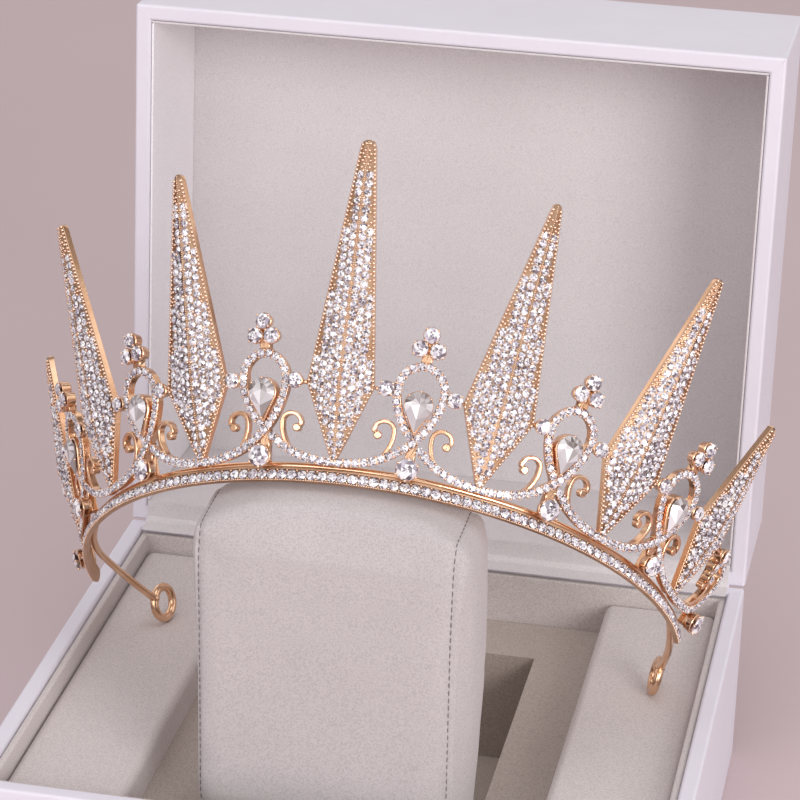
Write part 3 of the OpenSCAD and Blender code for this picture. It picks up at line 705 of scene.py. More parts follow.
# %% Where stones and grains sit on a spike
STONE_D, STONE_LIFT = 2.04, 0.06
COLUMN_GAP, ROW_GAP, COLUMNS = 1.72, 2.0, 6
FIRST_COLUMN, COLUMN_START, TIP_CLEAR = 1.17, FOOT_H + 5.2, 7
FOOT_FROM, FOOT_TO, EDGE_FROM, RIDGE_FROM = FOOT_H + 0.9, FOOT_H + 4.4, FOOT_H + 1.2, FOOT_H + 0.4
INNER_MARGIN, OUTER_MARGIN = 0.7, 0.9
FOOT_STONE, FOOT_PITCH, FOOT_LIFT = 1.5, 1.5, 0.12
GRAIN_D, GRAIN_PITCH, GRAIN_LIFT, GRAIN_ROWS = 0.86, 0.9, 0.17, 0.87
EDGE_GRAIN, EDGE_PITCH, EDGE_INSET = 0.95, 0.96, 0.34
RIDGE_GRAIN, RIDGE_PITCH, RIDGE_LIFT = 0.42, 0.5, 0.04


def spike_sections(h, w, tip):
    return np.array([[FOOT_H, 0.65, 0], [FOOT_H + 1.6, 0.75, 0.1], [SHOULDER_H, w, 2.0],
                     [h - 1.6, tip, 0.6], [h - 0.4, 0.75 * tip, 0.4], [h, 0.3 * tip, 0.1]])


class SpikeFace:
    """One half of a spike's front, from its ridge to its edge."""

    def __init__(self, s, h, w, tip_right, tip_out, tip_w, side):
        self.s, self.side = s, side
        self.rows = spike_sections(h, w, tip_w)
        bent = [max(0, z - SHOULDER_H) / (h - SHOULDER_H) for z in self.rows[:, 0]]
        self.ridge = np.array([face_point(s, b * tip_right, r[0], CAST_FRONT + r[2] + b * tip_out)
                               for r, b in zip(self.rows, bent)])
        self.edge = np.array([face_point(s, side * r[1] + b * tip_right, r[0], CAST_FRONT + b * tip_out)
                              for r, b in zip(self.rows, bent)])

    def half_width(self, z):
        return np.interp(z, self.rows[:, 0], self.rows[:, 1])

    def point(self, x, z):
        u = x / self.half_width(z)
        on_ridge, on_edge = (between(z, self.rows[:, 0], line) for line in (self.ridge, self.edge))
        return on_ridge * (1 - u) + on_edge * u

    def row(self, x, z, lift, width, step=0.05):
        here = self.point(x, z)
        sideways = (self.point(x + step, z) - here) * self.side
        up = self.point(x, z + step) - here
        out = unit(np.cross(sideways, up))
        return crown_row(here + out * lift, out, unit(up), width)

    def ridge_row(self, z, lift, width, facing_z):
        """On the ridge itself, facing straight ahead and not out of one half."""
        place, _, up, width = self.row(0.0, z, lift, width)
        return place, seat_direction(face_axes(self.s, 0, facing_z)[0]), up, width


def spike_stones(face, h):
    """Columns of stones as (x, z), each column as long as its width allows."""
    spots = []
    for column in range(COLUMNS):
        x = FIRST_COLUMN + column * COLUMN_GAP
        margin = INNER_MARGIN if column == 0 else OUTER_MARGIN
        z = COLUMN_START + (ROW_GAP / 2 if column % 2 else 0)
        while z < h - TIP_CLEAR:
            if face.half_width(z) > x + margin and face.half_width(z + 0.5) > x + margin - 0.05:
                spots.append((x, z))
            z += ROW_GAP
    return spots


def spike_grains(face, h, stones):
    """Grains in staggered rows, wherever no stone is."""
    spots = []
    stones = np.array(stones)
    z, row = FOOT_FROM, 0
    while z < h - 0.5:
        limit = face.half_width(z) - EDGE_GRAIN
        x = RIDGE_GRAIN / 2 + 0.22 + (GRAIN_PITCH / 2 if row % 2 else 0)
        while x < limit:
            if np.hypot(stones[:, 0] - x, stones[:, 1] - z).min() > STONE_D / 2 + 0.05:
                spots.append((x, z))
            x += GRAIN_PITCH
        z += GRAIN_PITCH * GRAIN_ROWS
        row += 1
    return spots


stone_rows, grain_rows = [], []
for place, h, *widths in SPIKES:
    left, right = (SpikeFace(place * PITCH, h, *widths, side) for side in (-1, 1))
    foot = np.arange(FOOT_FROM, FOOT_TO, FOOT_PITCH)
    stone_rows += [right.ridge_row(z, FOOT_LIFT, FOOT_STONE, FOOT_H) for z in foot]
    for face in (left, right):
        stones = spike_stones(face, h)
        stone_rows += [face.row(x, z, STONE_LIFT, STONE_D) for x, z in stones]
        grain_rows += [face.row(x, z, GRAIN_LIFT, GRAIN_D) for x, z in spike_grains(face, h, stones)]
        grain_rows += [face.row(max(0.3, face.half_width(z) - EDGE_INSET), z, GRAIN_LIFT, EDGE_GRAIN)
                       for z in np.arange(EDGE_FROM, h - 0.6, EDGE_PITCH)]
    grain_rows += [right.ridge_row(z, RIDGE_LIFT, RIDGE_GRAIN, z)
                   for z in np.arange(RIDGE_FROM, h - 0.3, RIDGE_PITCH) if z > foot[-1] + 0.9]
print("spikes:", len(stone_rows), "stones and", len(grain_rows), "grains")

# %% Set the spikes' stones and grains
SMALL_TILT, ROW_TILT, LARGE_TILT, ANY_SPIN = 0.14, 0.1, 0.04, 6.28

stone_rows = hand_set(stone_rows, SMALL_TILT, 3)
kept_as(set_shapes("spike_crystals", stone_rows, CHATON, CRYSTAL, ANY_SPIN, 3), "case", "crystal")
kept_as(set_shapes("spike_grain", grain_rows, GRAIN, LIT_GRAIN_GOLD, 3.0, 4), "case", "gold")

# %% [markdown]
# ## Ribbons
#
# The crossed ribbons of the loops carry one row of stones. The row follows the ribbon's centre line,
# so the same curves as in the CAD source are walked at an even pitch. Where one ribbon dives under
# the other, its stones stop.

# %% Centre lines of the ribbons
RIBBON_PITCH, RIBBON_STONE, RIBBON_LIFT = 1.98, 1.98, 0.1
BEAD_D, BEAD_OFF = 0.62, 0.84
LOOP_HALF, LOOP_TOP, LOOP_RISE = 5.45, 22.4, 5.7
CROSSING = (0.4, 10.6)
TAIL_X, TAIL_Z = 15.75, FOOT_H + 1.75 / 2


def bezier(a, b, c, d, steps=24):
    a, b, c, d = (np.array(p, float) for p in (a, b, c, d))
    t = np.linspace(0, 1, steps + 1)[:, None]
    return (1 - t) ** 3 * a + 3 * t * (1 - t) ** 2 * b + 3 * t * t * (1 - t) * c + t ** 3 * d


def arc(centre, rx, ry, start, end, steps=24):
    a = np.radians(np.linspace(start, end, steps + 1))
    return np.array(centre) + np.stack([rx * np.cos(a), ry * np.sin(a)], 1)


def walked(path, pitch):
    """Evenly spaced points along a path, with the direction of the path at each."""
    steps = np.hypot(*np.diff(path, axis=0).T)
    run = np.concatenate([[0], np.cumsum(steps)])
    count = max(2, int(round(run[-1] / pitch)) + 1)
    at = np.linspace(0, run[-1], count)
    ahead = (between(np.minimum(at + 0.2, run[-1]), run, path)
             - between(np.maximum(at - 0.2, 0), run, path))
    return between(at, run, path), ahead / np.hypot(*ahead.T)[:, None]


OVER = np.concatenate([
    arc((0, LOOP_TOP), LOOP_HALF, LOOP_RISE, 180, 0),
    bezier((LOOP_HALF, LOOP_TOP), (LOOP_HALF, 18.5), (2.9, 13.5), CROSSING)[1:],
    bezier(CROSSING, (-2.6, 7.6), (-6.5, TAIL_Z + 0.2), (-TAIL_X, TAIL_Z))[1:]])
UNDER_LEFT = bezier((-LOOP_HALF, LOOP_TOP - 1.2), (-LOOP_HALF, 18), (-3.2, 14.2), (-0.9, 11.9))
UNDER_RIGHT = bezier((2.2, 8.8), (4.5, 6.6), (8.5, TAIL_Z + 0.2), (TAIL_X, TAIL_Z))
END_OUTER = np.concatenate([
    bezier((-TAIL_X, TAIL_Z), (-9, TAIL_Z), (-4, 4.4), (-1.2, 7.4)),
    bezier((-1.2, 7.4), (1.2, 10.2), (4.6, 14.8), (4.5, 18.2))[1:],
    arc((0.2, 18.2), 4.3, 2.9, 0, 150)[1:]])


def ribbon_rows(s, path, sign):
    """Stones along a ribbon and the pairs of beads between them; sign -1 mirrors the path."""
    place, ahead = walked(path, RIBBON_PITCH)
    stones = [face_row(s, sign * x, z, CAST_FRONT + RIBBON_LIFT, RIBBON_STONE) for x, z in place]
    beads = []
    for a, b, (along_x, along_z) in zip(place, place[1:], ahead):
        for off in (-BEAD_OFF, BEAD_OFF):
            x, z = (a + b) / 2 + np.array([-along_z, along_x]) * off
            beads.append(face_row(s, sign * x, z, CAST_FRONT, BEAD_D))
    return stones, beads


ribbon_stones, ribbon_beads = [], []
jobs = [(s, path, 1) for s in LOOPS for path in (OVER, UNDER_LEFT, UNDER_RIGHT)]
for job in jobs + [(END_PLACE, END_OUTER, 1), (-END_PLACE, END_OUTER, -1)]:
    stones, beads = ribbon_rows(*job)
    ribbon_stones += stones
    ribbon_beads += beads
print("ribbons:", len(ribbon_stones), "stones,", len(ribbon_beads), "beads")

# %% [markdown]
# ## Large stones and their prongs
#
# The round stones sit in cups: a large one on the band under each loop and each end ornament, three
# over each loop, and one on each side of it. An end ornament has three smaller ones. Prongs grip each
# of them. The pear stone has its own cut.

# %% Seats of the round stones
ROUND_SEAT, ROUND_D, ROUND_CUP = (0, 4.2), 5.1, 2.5
TREFOIL, TOP_D, TOP_CUP = [(-2.05, 32), (2.05, 32), (0, 35.4)], 3.7, 1.2
SIDE_X, SIDE_Z, SIDE_D, SIDE_CUP = 7.9, 21.8, 3.6, 1.1
END_TOP, END_SMALL, END_SMALL_D, SMALL_CUP = (-5, 21.4), [(-5.6, 17.6), (-4.2, 14.9)], 2.2, 0.9
ROUND_PRONG, TOP_PRONG, SMALL_PRONG, PEAR_PRONG = 0.7, 0.6, 0.45, 0.62
STONE_HIGH, PRONG_HIGH, PRONG_OUT = 0.12, 0.14, 0.02
FAMILIES = {"round": [], "trefoil": [], "side": [], "end": []}
prong_rows = []


def add_stone(family, s, seat_at, d, cup, prongs, prong_d):
    """A stone in its cup, and the prongs round its edge."""
    (x, z), floor = seat_at, cup + GAP
    FAMILIES[family].append(face_row(s, x, z, floor + STONE_HIGH * d, d))
    r = d / 2 + PRONG_OUT
    for a in (2 * math.pi * (k + 0.5) / prongs for k in range(prongs)):
        spot = x + r * math.cos(a), z + r * math.sin(a)
        prong_rows.append(face_row(s, *spot, floor + PRONG_HIGH * d, prong_d))


for k in range(8):
    add_stone("round", (k - 3.5) * PITCH, ROUND_SEAT, ROUND_D, ROUND_CUP, 6, ROUND_PRONG)
for s in LOOPS:
    for place in TREFOIL:
        add_stone("trefoil", s, place, TOP_D, TOP_CUP, 4, TOP_PRONG)
    for side in (-1, 1):
        add_stone("side", s, (side * SIDE_X, SIDE_Z), SIDE_D, SIDE_CUP, 4, TOP_PRONG)
for side in (-1, 1):
    add_stone("end", side * END_PLACE, (side * END_TOP[0], END_TOP[1]), TOP_D, TOP_CUP, 4, TOP_PRONG)
    for x, z in END_SMALL:
        add_stone("end", side * END_PLACE, (side * x, z), END_SMALL_D, SMALL_CUP, 4, SMALL_PRONG)
print("round stones:", {name: len(rows) for name, rows in FAMILIES.items()}, len(prong_rows), "prongs")

# %% Set the large stones
STONE_NODES = {
    "round": [f"round_stone_{i}" for i in range(1, 9)],
    "trefoil": [f"top_stones_{i}" for i in range(1, 7)],
    "side": [f"side_stones_{i}" for i in range(1, 7)],
    "end": ["end_stones_left", "end_stones_right"],
}
for number, (family, rows) in enumerate(FAMILIES.items()):
    rows = hand_set(rows, LARGE_TILT, 20)
    piece = set_shapes(family + "_crystals", rows, BRILLIANT, CRYSTAL, 1.0, 20 + number)
    kept_as(piece, "case", "crystal", *STONE_NODES[family])

# %% [markdown]
# A pear cut is a brilliant pulled to a point. Its outline is a circle and two tangents, the table is
# the same outline made smaller, and triangles run between them. Its round end mirrors the darker cup
# and its long facets mirror the light, so their values are given by where they lie.

# %% The pear stones
PEAR_R, PEAR_DROP, PEAR_SEAT, PEAR_STEPS = 3.3, 6.2, (0, 19.0), 14
PEAR_CUP, PEAR_CROWN, PEAR_DEPTH = 1.3, 0.95, 0.5
PEAR_TABLE, PEAR_BACK = 0.55, 0.85
# Painted reflection on the pear's facets: those of the round end darker, the long ones on the left
# lighter than those on the right.
DOME_ABOVE, DOME, LEFT_SIDE, RIGHT_SIDE = 0.4, (0.05, 0.6), (0.55, 0.9), (0.3, 0.65)


def pear_outline(r, drop, steps):
    lean = math.asin(r / drop)
    turn = [math.pi + lean - i * (math.pi + 2 * lean) / steps for i in range(steps + 1)]
    return [(0.0, -drop)] + [(r * math.cos(a), r * math.sin(a)) for a in turn]


def pear_template():
    outline = pear_outline(PEAR_R, PEAR_DROP, PEAR_STEPS)
    n = len(outline)
    half = n // 2
    girdle = [(x, y, 0) for x, y in outline]
    table = [(x * PEAR_TABLE, y * PEAR_TABLE + 0.2, PEAR_CROWN) for x, y in outline[:2 * half:2]]
    back = [(x * PEAR_BACK, y * PEAR_BACK, -PEAR_DEPTH) for x, y in outline]
    middle = (0.25, 0.4, PEAR_CROWN)
    faces = [(n + i, n + (i + 1) % half, 2 * n + half) for i in range(half)]
    for i in range(half):
        a, b, c = 2 * i, 2 * i + 1, (2 * i + 2) % n
        faces += [(a, b, n + i), (b, n + (i + 1) % half, n + i), (b, c, n + (i + 1) % half)]
    faces += [(i, n + half + i, n + half + (i + 1) % n, (i + 1) % n) for i in range(n)]
    faces.append(tuple(range(n + half, n + half + n)))
    return outward(mesh_piece("pear", girdle + table + back + [middle], faces))


PEAR = pear_template()
TEMPLATES.append(PEAR)
pear_lift = PEAR_CUP + GAP + PEAR_DEPTH
pear_rows = [face_row(s, *PEAR_SEAT, pear_lift, 1.0) for s in LOOPS]
pears = set_shapes("pear_crystals", pear_rows, PEAR, PEAR_CRYSTAL, seed=31)
chance = np.random.default_rng(5)
for face in pears.data.polygons:
    centre = np.array(face.center)
    seat_at, out, up, _ = min(pear_rows, key=lambda row: np.linalg.norm(centre - row[0]))
    across, above = (float((centre - seat_at) @ axis) / MM for axis in (np.cross(up, out), up))
    low, high = DOME if above > DOME_ABOVE else LEFT_SIDE if across < 0.3 else RIGHT_SIDE
    pears.data.attributes["sparkle"].data[face.index].value = chance.uniform(low, high)
kept_as(pears, "case", "crystal", *[f"pear_stone_{i}" for i in range(1, 7)])
PEAR_PRONGS = [(0, PEAR_SEAT[1] + PEAR_R), (-2.5, 21.1), (2.5, 21.1), (-2.35, 16.0), (2.35, 16.0),
               (0, 12.9)]
prong_rows += [face_row(s, x, z, pear_lift + 0.1, PEAR_PRONG) for s in LOOPS for x, z in PEAR_PRONGS]

# %% [markdown]
# ## The strip's row
#
# The strip is a channel with one long row of stones. A pair of beads stands between each two stones,
# and a line of milgrain runs along the lower edge.

# %% Stones, beads and milgrain of the strip
ROW_COUNT, ROW_INSET, ROW_STONE = 99, 2.3, 2.46
STRIP_OUT, STRIP_LOW, BEAD_Z = 75.3, -1.55, 1.02
MILGRAIN_D, MILGRAIN_COUNT = 0.5, 420


def band_row(arc_length, z, radius, width):
    a = arc_length / BAND_R
    outwards, upwards = np.array([math.sin(a), -math.cos(a), 0]), np.array([0, 0, 1.0])
    return crown_row(BAND_CENTRE + radius * outwards + [0, 0, z], outwards, upwards, width)


reach = BAND_LENGTH / 2 - ROW_INSET
spots = np.linspace(-reach, reach, ROW_COUNT)
row_stones = [band_row(a, -0.1, STRIP_OUT + 0.1, ROW_STONE) for a in spots]
row_beads = [band_row((a + b) / 2, z, STRIP_OUT + 0.02, BEAD_D)
             for a, b in zip(spots, spots[1:]) for z in (-BEAD_Z, BEAD_Z)]
milgrain = [band_row(a, STRIP_LOW + 0.14, STRIP_OUT, MILGRAIN_D)
            for a in np.linspace(-reach - 0.6, reach + 0.6, MILGRAIN_COUNT)]
row_stones = hand_set(row_stones, ROW_TILT, 7)
ribbon_stones = hand_set(ribbon_stones, SMALL_TILT, 9)
small_beads = ribbon_beads + row_beads + milgrain
row = set_shapes("band_crystals", row_stones, BRILLIANT, CRYSTAL, 1.0, 7)
kept_as(row, "case", "crystal", "band_stones")
ribbons = set_shapes("ribbon_crystals", ribbon_stones, BRILLIANT, CRYSTAL, ANY_SPIN, 9)
kept_as(ribbons, "case", "crystal")
kept_as(set_shapes("setting_beads", small_beads, GRAIN, LIT_GRAIN_GOLD, 3.0, 11), "case", "gold")
kept_as(set_shapes("prongs", prong_rows, PRONG, LIT_GRAIN_GOLD, seed=12), "case", "gold")
for template in TEMPLATES:
    bpy.data.objects.remove(template)

# %% [markdown]
# ## Box
#
# Both halves of the box are board wrapped in leatherette, so their edges are slightly round, and the
# covering is folded over the rim and meets in a mitre at each corner. Every part of the box is drawn
# as a few rectangles joined one after the other, and then its edges are rounded.

# %% Parts of the box from joined rectangles
BOX_EDGE, BOX_CREASE, ROUND_STEPS = 0.8, 60, 3
HINGE = np.array([0, HINGE_Y, BASE_H])


def as_is(point):
    return np.array(point) * MM


def lid_place(point):
    """From the closed lid, its rim in the plane z = 0 and its hinge at y = 0, to the open lid."""
    return (HINGE + turn_x(-math.pi / 2 - LID_LEAN) @ np.asarray(point, float)) * MM


def rectangle(x0, x1, y0, y1, z):
    return [(x0, y0, z), (x1, y0, z), (x1, y1, z), (x0, y1, z)]


def joined_rectangles(name, rows, finish, edge, place=as_is, closed=False, segments=ROUND_STEPS):
    """Walls between rectangles (x0, x1, y0, y1, z); capped at both ends, or closed on itself."""
    points = [place(p) for row in rows for p in rectangle(*row)]
    n, faces = len(rows), []
    for i in range(n if closed else n - 1):
        a, b = 4 * i, 4 * ((i + 1) % n)
        faces += [(a + k, a + (k + 1) % 4, b + (k + 1) % 4, b + k) for k in range(4)]
    if not closed:
        faces += [(3, 2, 1, 0), tuple(4 * n - 4 + k for k in range(4))]
    part = finished(outward(mesh_piece(name, points, faces)), finish, BOX_CREASE)
    rounding = part.modifiers.new("rounded edge", "BEVEL")
    rounding.width, rounding.segments = edge * MM, segments
    rounding.limit_method, rounding.harden_normals = "ANGLE", True
    return part


def block(name, sides, low, high, finish, edge, place=as_is, segments=ROUND_STEPS):
    """A board or block over one rectangle (x0, x1, y0, y1)."""
    rows = [(*sides, low), (*sides, high)]
    return joined_rectangles(name, rows, finish, edge, place, segments=segments)


def inset(amount):
    return -BOX_W / 2 + amount, BOX_W / 2 - amount, -BOX_D / 2 + amount, BOX_D / 2 - amount


def lid_inset(amount):
    return -BOX_W / 2 + amount, BOX_W / 2 - amount, -BOX_D + amount, -amount


base = joined_rectangles("base_cover", [
    (*inset(0), 0), (*inset(0), BASE_H), (*inset(WALL), BASE_H), (*inset(WALL), BOARD)],
    LEATHERETTE, BOX_EDGE)
kept_as(base, "case", "white_cover", "box_base")
lid = joined_rectangles("lid_cover", [
    (*lid_inset(0), LID_H), (*lid_inset(0), GAP),
    (*lid_inset(WALL), GAP), (*lid_inset(WALL), LID_H - BOARD)], LEATHERETTE, BOX_EDGE, lid_place)
kept_as(lid, "lid", "white_cover", "lid")

# %% [markdown]
# The fold of the covering at a mitred corner is a line about a tenth of a millimetre high. It is
# drawn as a very thin cord half sunk in the rim.

# %% Mitred folds on both rims
FOLD_CORD_R, FOLD_SUNK, FOLD_SIDES, FOLD_SPAN = 0.11, 0.03, 8, (0.12, 0.5, 0.9)


def mitre_folds(name, outer, inner, z, place):
    corners = [(np.array(a, float), np.array(b, float))
               for a, b in zip(rectangle(*outer, z), rectangle(*inner, z))]
    lines = [([place(a + (b - a) * t) for t in FOLD_SPAN], False, FOLD_CORD_R, None) for a, b in corners]
    return wire_piece(name, wires(lines, FOLD_SIDES, LEATHERETTE), LEATHERETTE)


base_folds = mitre_folds("base_mitre_folds", inset(0), inset(WALL), BASE_H - FOLD_SUNK, as_is)
lid_folds = mitre_folds("lid_mitre_folds", lid_inset(0), lid_inset(WALL), GAP + FOLD_SUNK, lid_place)
kept_as(base_folds, "case", "white_cover")
kept_as(lid_folds, "lid", "white_cover")
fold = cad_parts["hinge_fold"]
fold.data.materials.clear()
fold.data.materials.append(LEATHERETTE)

# %% [markdown]
# Inside, everything is covered with velvet: the thin wall that stands up in the base, the insert with
# its two platforms, channel and well, and the lining of the lid. Velvet over foam has softly rounded
# edges, larger on the platforms than on the thin wall.

# %% Velvet linings
LINER_INSET, LINER_T, LINER_TOP, LINER_EDGE = 4.35, 1.8, BASE_H - 1.1, 0.6
TRAY_INSET, TRAY_FOOT, TRAY_BOARD = 6.35, 3.1, 3.0
PAD, SIDE_LINING, LINING_START, LINING_EDGE = 1.5, 0.6, 0.5, 0.25

outer, inner = inset(LINER_INSET), inset(LINER_INSET + LINER_T)
liner = joined_rectangles("liner_wall", [
    (*outer, TRAY_FOOT), (*outer, LINER_TOP), (*inner, LINER_TOP), (*inner, TRAY_FOOT)],
    VELVET, LINER_EDGE, closed=True)
kept_as(liner, "case", "velvet", "base_liner")

half_w = BOX_W / 2 - WALL - GAP
near, far = -WALL - GAP, -BOX_D + WALL + GAP
lining_top = LID_H - BOARD - GAP
wall_top = lining_top - PAD - GAP
side_y = far + SIDE_LINING + GAP, near - PAD - GAP
BOARDS = {  # x from, to, y from, to, and z from, to in the closed lid
    "lining_panel": ((-half_w, half_w, far, near), lining_top - PAD, lining_top),
    "lining_rear": ((-half_w, half_w, near - PAD, near), LINING_START, wall_top),
    "lining_front": ((-half_w, half_w, far, far + SIDE_LINING), LINING_START, wall_top),
    "lining_left": ((-half_w, -half_w + SIDE_LINING, *side_y), LINING_START, wall_top),
    "lining_right": ((half_w - SIDE_LINING, half_w, *side_y), LINING_START, wall_top),
}
for name, (sides, low, high) in BOARDS.items():
    # The left board takes the lighter side velvet and the others take the lid velvet: both are painted
    # light.
    finish = LIT_SIDE_VELVET if name == "lining_left" else LIT_LID_VELVET
    board = block(name, sides, low, high, finish, LINING_EDGE, lid_place)
    kept_as(board, "lid", "velvet", "lid_liner")

# %% [markdown]
# The lining runs on over the hinge, so no white shows between the lid and the base there. A skin of
# velvet covers the lid's lower rim, another covers the rear rim of the base, and a narrow curved one
# covers the fold between them.

# %% Velvet over the hinge
FLAP_T, FLAP_START, FLAP_EDGE, FLAP_LIFT = 0.3, 1.2, 0.1, 0.02
FOLD_R, FOLD_SKIN_R, FLAP_CREASE = 0.9, 1.5, 50
lid_reach, base_reach = WALL + GAP + PAD + 0.05, LINER_INSET + LINER_T + 0.15
flap_x = BOX_W / 2 - WALL - 0.3
lid_side, base_side = GAP - FLAP_LIFT, BASE_H + FLAP_LIFT
# The flaps wear the lid's lighter velvet: painted light.
flap_lid = block("flap_on_lid", (-flap_x, flap_x, -lid_reach, -FLAP_START),
                 lid_side - FLAP_T, lid_side, LIT_LID_VELVET, FLAP_EDGE, lid_place, 2)
flap_base = block("flap_on_base", (-flap_x, flap_x, HINGE_Y - base_reach, HINGE_Y - FLAP_START),
                  base_side, base_side + FLAP_T, LIT_LID_VELVET, FLAP_EDGE, segments=2)
inside, outside = np.radians(np.linspace(92, 180, 10)), np.radians(np.linspace(180, 92, 14))
rows = [(r * math.cos(a), r * math.sin(a))
        for r, angles in ((FOLD_R + 0.03, inside), (FOLD_SKIN_R, outside)) for a in angles]
points = [np.array((x, HINGE_Y + y, BASE_H + z)) * MM for x in (-flap_x, flap_x) for y, z in rows]
n = len(rows)
faces = [(i, (i + 1) % n, n + (i + 1) % n, n + i) for i in range(n)]
faces += [tuple(range(n))[::-1], tuple(range(n, 2 * n))]
flap_fold = finished(outward(mesh_piece("flap_over_fold", points, faces)), LIT_LID_VELVET, FLAP_CREASE)
for piece, body in ((flap_lid, "lid"), (flap_base, "case"), (flap_fold, "case")):
    kept_as(piece, body, "velvet")

# %% [markdown]
# The insert is a velvet-covered tray with the well that the pillow stands in. Rectangles that are
# joined from the well's floor, up over the channel and down the well's outside make it in one go, and
# the two platforms are blocks with rounder edges beside the channel.

# %% The insert with its platforms, channel and well
PLATFORM_TOP, CHANNEL_TOP, WELL_FLOOR = BASE_H - 5.6, BASE_H - 15.1, TRAY_FOOT + 0.8
PLATFORM_X, HOLE_X, HOLE_FRONT, HOLE_BACK = 49.0, 32.7, HINGE_Y - 137, HINGE_Y - 25
INSERT_EDGE, PLATFORM_EDGE, PLATFORM_STEPS = 0.6, 2.4, 6
tray_x, tray_y = BOX_W / 2 - TRAY_INSET, BOX_D / 2 - TRAY_INSET
hole = (-HOLE_X, HOLE_X, HOLE_FRONT, HOLE_BACK)
channel = (-PLATFORM_X, PLATFORM_X, -tray_y, tray_y)
well = (-HOLE_X - 3, HOLE_X + 3, -tray_y + 0.05, HOLE_BACK + 3)
channel_low = CHANNEL_TOP - TRAY_BOARD
# The insert's velvet is painted darker: painted shade in the well and the channel.
insert = joined_rectangles("insert", [
    (*hole, WELL_FLOOR), (*hole, CHANNEL_TOP), (*channel, CHANNEL_TOP), (*channel, channel_low),
    (*well, channel_low), (*well, TRAY_FOOT)], SHADED_WELL_VELVET, INSERT_EDGE)
kept_as(insert, "case", "velvet", "tray")
for label, x0, x1 in (("left", -tray_x, -PLATFORM_X), ("right", PLATFORM_X, tray_x)):
    platform = block("platform_" + label, (x0, x1, -tray_y, tray_y), TRAY_FOOT, PLATFORM_TOP, VELVET,
                     PLATFORM_EDGE, segments=PLATFORM_STEPS)
    kept_as(platform, "case", "velvet", "tray")

# %% [markdown]
# ## Pillow
#
# The pillow is a firm stuffed stand. Its CAD solid is remeshed to an even skin, drawn in a little and
# then blown up as cloth, which rounds its corners as stuffing does. How far the skin may go is capped,
# so it stays clear of the well and of the strip that hangs over it. Its right side is a little fuller
# towards the top.

# %% Blow up the pillow's skin
PILLOW_VOXEL, DRAWN_IN, MOST, ROUNDING = 3.0, 0.7, 1.9, 2
PILLOW_X, SIDE_FROM, HALF_WIDTH = -1.0, 32.5, 33.4
FOOT_TOP, BODY_LOW = BASE_H - 12, BASE_H - 5
FREE_TOP, FREE_FOOT = 108.0, 40.0
FULLER = 1.3


def remeshed(name, node, voxel):
    piece = piece_from(name, merged_copy(node))
    skin = piece.modifiers.new("even skin", "REMESH")
    skin.mode, skin.voxel_size = "VOXEL", voxel * MM
    return applied(piece)


def skin_normals(piece):
    return np.array([v.normal[:] for v in piece.data.vertices])


def blown_up(piece, pressure=4.0, frames=20):
    cloth = piece.modifiers.new("cloth", "CLOTH")
    rules = cloth.settings
    rules.quality, rules.mass = 6, 0.3
    rules.use_pressure, rules.uniform_pressure_force = True, pressure
    rules.effector_weights.gravity = 0
    rules.tension_stiffness = rules.compression_stiffness = 30
    cloth.point_cache.frame_end = frames
    for moment in range(1, frames + 1):
        bpy.context.scene.frame_set(moment)
    applied(piece)
    bpy.context.scene.frame_set(1)


pillow = remeshed("stuffed_pillow", "pillow", PILLOW_VOXEL)
solid, outwards = places(pillow), skin_normals(pillow)
set_places(pillow, solid - outwards * DRAWN_IN * MM)
blown_up(pillow)
moved = places(pillow) - solid
swell = (moved * outwards).sum(1) / MM
sideways, height = solid[:, 0] / MM - PILLOW_X, solid[:, 2] / MM
room = np.interp(height, [FREE_FOOT, FREE_FOOT + 12, FREE_TOP - 20, FREE_TOP], [0.25, 0.9, 0.9, 0.0])
beside = np.interp(height, [BODY_LOW, BODY_LOW + 10, 100, 116], [0.1, 1.1, 1.1, 0.3])
swell = np.clip(swell, -MOST, np.where(np.abs(sideways) > SIDE_FROM, beside, room))
rightwards = np.clip(sideways / HALF_WIDTH, 0, 1) ** 2
fuller = FULLER * rightwards * np.interp(height, [60, 100, 112, 121], [0, 1, 1, 0.6])
set_places(pillow, solid + (outwards * swell[:, None] + np.outer(fuller, [1, 0, 0])) * MM)
even = pillow.modifiers.new("even out", "SMOOTH")
even.factor, even.iterations = 0.5, 2
round_skin = pillow.modifiers.new("round skin", "SUBSURF")
round_skin.levels = round_skin.render_levels = ROUNDING
applied(pillow)
print("pillow:", len(pillow.data.vertices), "points, swell up to", swell.max().round(2), "mm")

# %% [markdown]
# The front panel and the gussets meet in two sewn seams, which run up the front, over the top and
# down the back, two millimetres inside the edges. The thread pulls the velvet in.

# %% Seams of the pillow
SEAM_X, SEAM_LEAN, SEAM_CENTRE, SEAM_DEPTH, SEAM_WIDTH = 29.9, -0.3, -1.6, 0.45, 0.8
SEAM_LOW, SEAM_STEP, SEAM_TURN = 9, 1.5, 6
PILLOW_Y, TOP_CENTRE, TOP_R = HINGE_Y - 116.8, 112.9, 13
RIPPLE = 0.12


def seam_rays(side):
    """Rays from the pillow's middle plane, up the front, over the top and down the back."""
    rays = [((PILLOW_Y, z), (-1, 0)) for z in np.arange(SEAM_LOW, TOP_CENTRE, SEAM_STEP)]
    rays += [((PILLOW_Y, TOP_CENTRE), (-math.cos(a), math.sin(a)))
             for a in np.radians(np.arange(0, 181, SEAM_TURN))]
    rays += [((PILLOW_Y, z), (1, 0)) for z in np.arange(TOP_CENTRE, SEAM_LOW, -SEAM_STEP)]
    for (y, z), (dy, dz) in rays:
        body = min(1, max(0, (z - FOOT_TOP) / (BODY_LOW - FOOT_TOP)))
        lean = SEAM_LEAN * min(1, max(0, (z + TOP_R * dz - 106) / 18)) ** 2
        yield Vector((body * SEAM_CENTRE + side * (SEAM_X - lean), y, z)) * MM, Vector((0, dy, dz))


